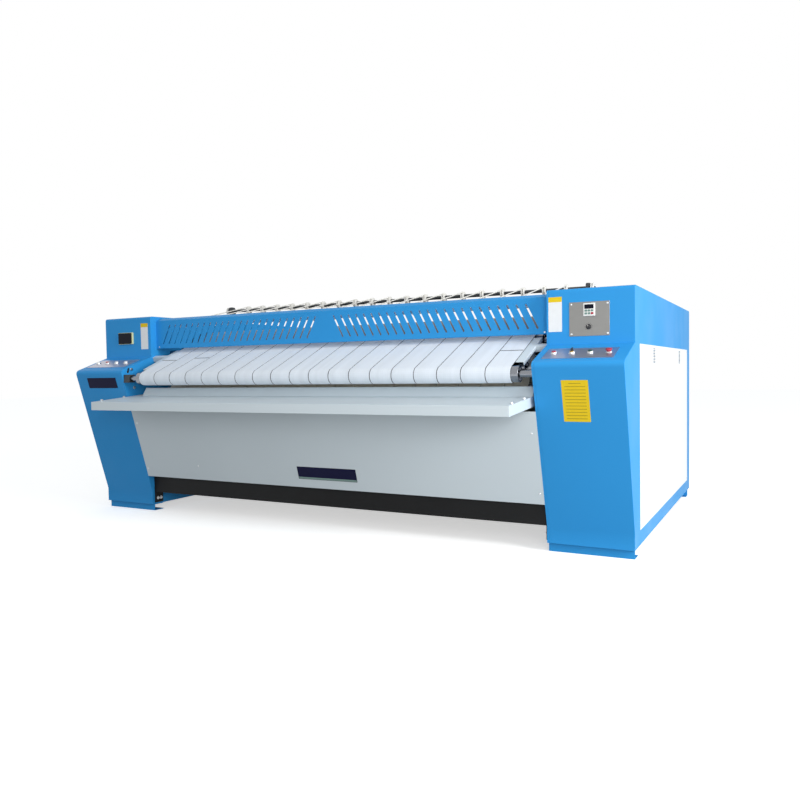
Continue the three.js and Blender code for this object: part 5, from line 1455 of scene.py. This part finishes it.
class BuildStage(bpy.types.Operator):
    """Sets up the floor, the light and the camera"""

    bl_idname = "ironer.stage"
    bl_label = "Stage"

    def execute(self, context):
        sizes = context.scene.ironer_stage
        context.scene.view_settings.view_transform = "Standard"
        self.floor(sizes)
        self.sky(context.scene, sizes)
        self.lamp("Key", Vector((7.5, -2.5, 3.4)), sizes.key_power, 3.0)
        self.lamp("Fill", Vector((4.0, -6.2, 1.7)), sizes.fill_power, 3.0)
        self.camera(context.scene)
        return {"FINISHED"}

    def seen(self, tree):
        """1 for the rays by which the camera, metal and glass see a surface, and 0 for the light's own."""
        rays = add_node(tree, "ShaderNodeLightPath").outputs
        found = rays["Is Camera Ray"]
        for ray in ("Is Glossy Ray", "Is Transmission Ray"):
            inputs = {0: found, 1: rays[ray]}
            found = add_node(tree, "ShaderNodeMath", inputs, operation="MAXIMUM").outputs[0]
        return found

    def floor(self, sizes):
        """A pale floor that keeps the machine's shadow."""
        bm = bmesh.new()
        bmesh.ops.create_grid(bm, x_segments=1, y_segments=1, size=sizes.floor_size / 2)
        mesh = plain(bm, "Floor")
        material, tree, shader = new_material("Pale studio floor")
        set_inputs(shader, Roughness=0.9, Specular_IOR_Level=0.0, Emission_Color=(1, 1, 1))
        rgb = list(sizes.floor)
        direct = self.seen(tree)
        tree.links.new(mixed(tree, direct, shade(rgb, sizes.bounce), rgb), shader.inputs["Base Color"])
        glow = add_node(tree, "ShaderNodeMath", {0: direct, 1: sizes.glow}, operation="MULTIPLY")
        tree.links.new(glow.outputs[0], shader.inputs["Emission Strength"])
        mesh.materials.append(material)
        floor = bpy.data.objects.new("Floor", mesh)
        bpy.context.scene.collection.objects.link(floor)

    def sky(self, scene, sizes):
        """Even light on the machine; the camera and mirrors see plain white."""
        world = bpy.data.worlds.new("Studio")
        world.use_nodes = True
        tree = world.node_tree
        tree.nodes.clear()
        even = add_node(tree, "ShaderNodeBackground", {"Color": (0.95, 0.98, 1.0, 1), "Strength": sizes.sky})
        white = add_node(tree, "ShaderNodeBackground", {"Color": (1, 1, 1, 1), "Strength": 1.0})
        inputs = {0: self.seen(tree), 1: even.outputs[0], 2: white.outputs[0]}
        mixer = add_node(tree, "ShaderNodeMixShader", inputs)
        add_node(tree, "ShaderNodeOutputWorld", {"Surface": mixer.outputs[0]})
        scene.world = world

    def lamp(self, name, place, power, size):
        data = bpy.data.lights.new(name, "AREA")
        data.energy = power
        data.size = size
        data.shape = "SQUARE"
        lamp = bpy.data.objects.new(name, data)
        lamp.location = place
        lamp.rotation_euler = (Vector((0, -0.3, 0.8)) - place).to_track_quat("-Z", "Y").to_euler()
        bpy.context.scene.collection.objects.link(lamp)

    def camera(self, scene):
        """The photograph's place and angle."""
        yaw, pitch, roll = (math.radians(a) for a in (28.01, -2.29, -0.90))
        onward = Vector(
            (-math.sin(yaw) * math.cos(pitch), math.cos(yaw) * math.cos(pitch), math.sin(pitch))
        )
        level = Vector((math.cos(yaw), math.sin(yaw), 0))
        above = level.cross(onward)
        right = level * math.cos(roll) + above * math.sin(roll)
        up = above * math.cos(roll) - level * math.sin(roll)
        data = bpy.data.cameras.new("Camera")
        data.sensor_width = 36.0
        data.lens = 33.37
        camera = bpy.data.objects.new("Camera", data)
        turn = Matrix((right, up, -onward)).transposed().to_4x4()
        camera.matrix_world = Matrix.Translation((2.8106, -5.0256, 1.0557)) @ turn
        scene.collection.objects.link(camera)
        scene.camera = camera


OPERATORS = (
    BuildFinishes, BuildStage, BuildCabinets, BuildGuard, BuildRollers, BuildFeedBelts, BuildIroningBelts,
    BuildDrums, BuildCordGuides, BuildConsoles, BuildHeadControls, BuildLabels, BuildFasteners,
    BuildWallFittings,
)


class IronerPanel(bpy.types.Panel):
    """Lists the steps that dress the machine"""

    bl_idname = "VIEW3D_PT_ironer"
    bl_label = "Flatwork ironer"
    bl_space_type = "VIEW_3D"
    bl_region_type = "UI"
    bl_category = "Ironer"

    def draw(self, context):
        for operator in OPERATORS:
            self.layout.operator(operator.bl_idname)
        for name, group in GROUPS.items():
            box = self.layout.box()
            settings = getattr(context.scene, name)
            for field in group.__annotations__:
                box.prop(settings, field)


def register():
    for cls in (*GROUPS.values(), *OPERATORS, IronerPanel):
        bpy.utils.register_class(cls)
    for name, group in GROUPS.items():
        setattr(bpy.types.Scene, name, PointerProperty(type=group))


def unregister():
    for name in GROUPS:
        delattr(bpy.types.Scene, name)
    for cls in reversed((*GROUPS.values(), *OPERATORS, IronerPanel)):
        bpy.utils.unregister_class(cls)


def main():
    register()
    for operator in OPERATORS:
        namespace, name = operator.bl_idname.split(".")
        getattr(getattr(bpy.ops, namespace), name)()


if __name__ == "__main__":
    main()
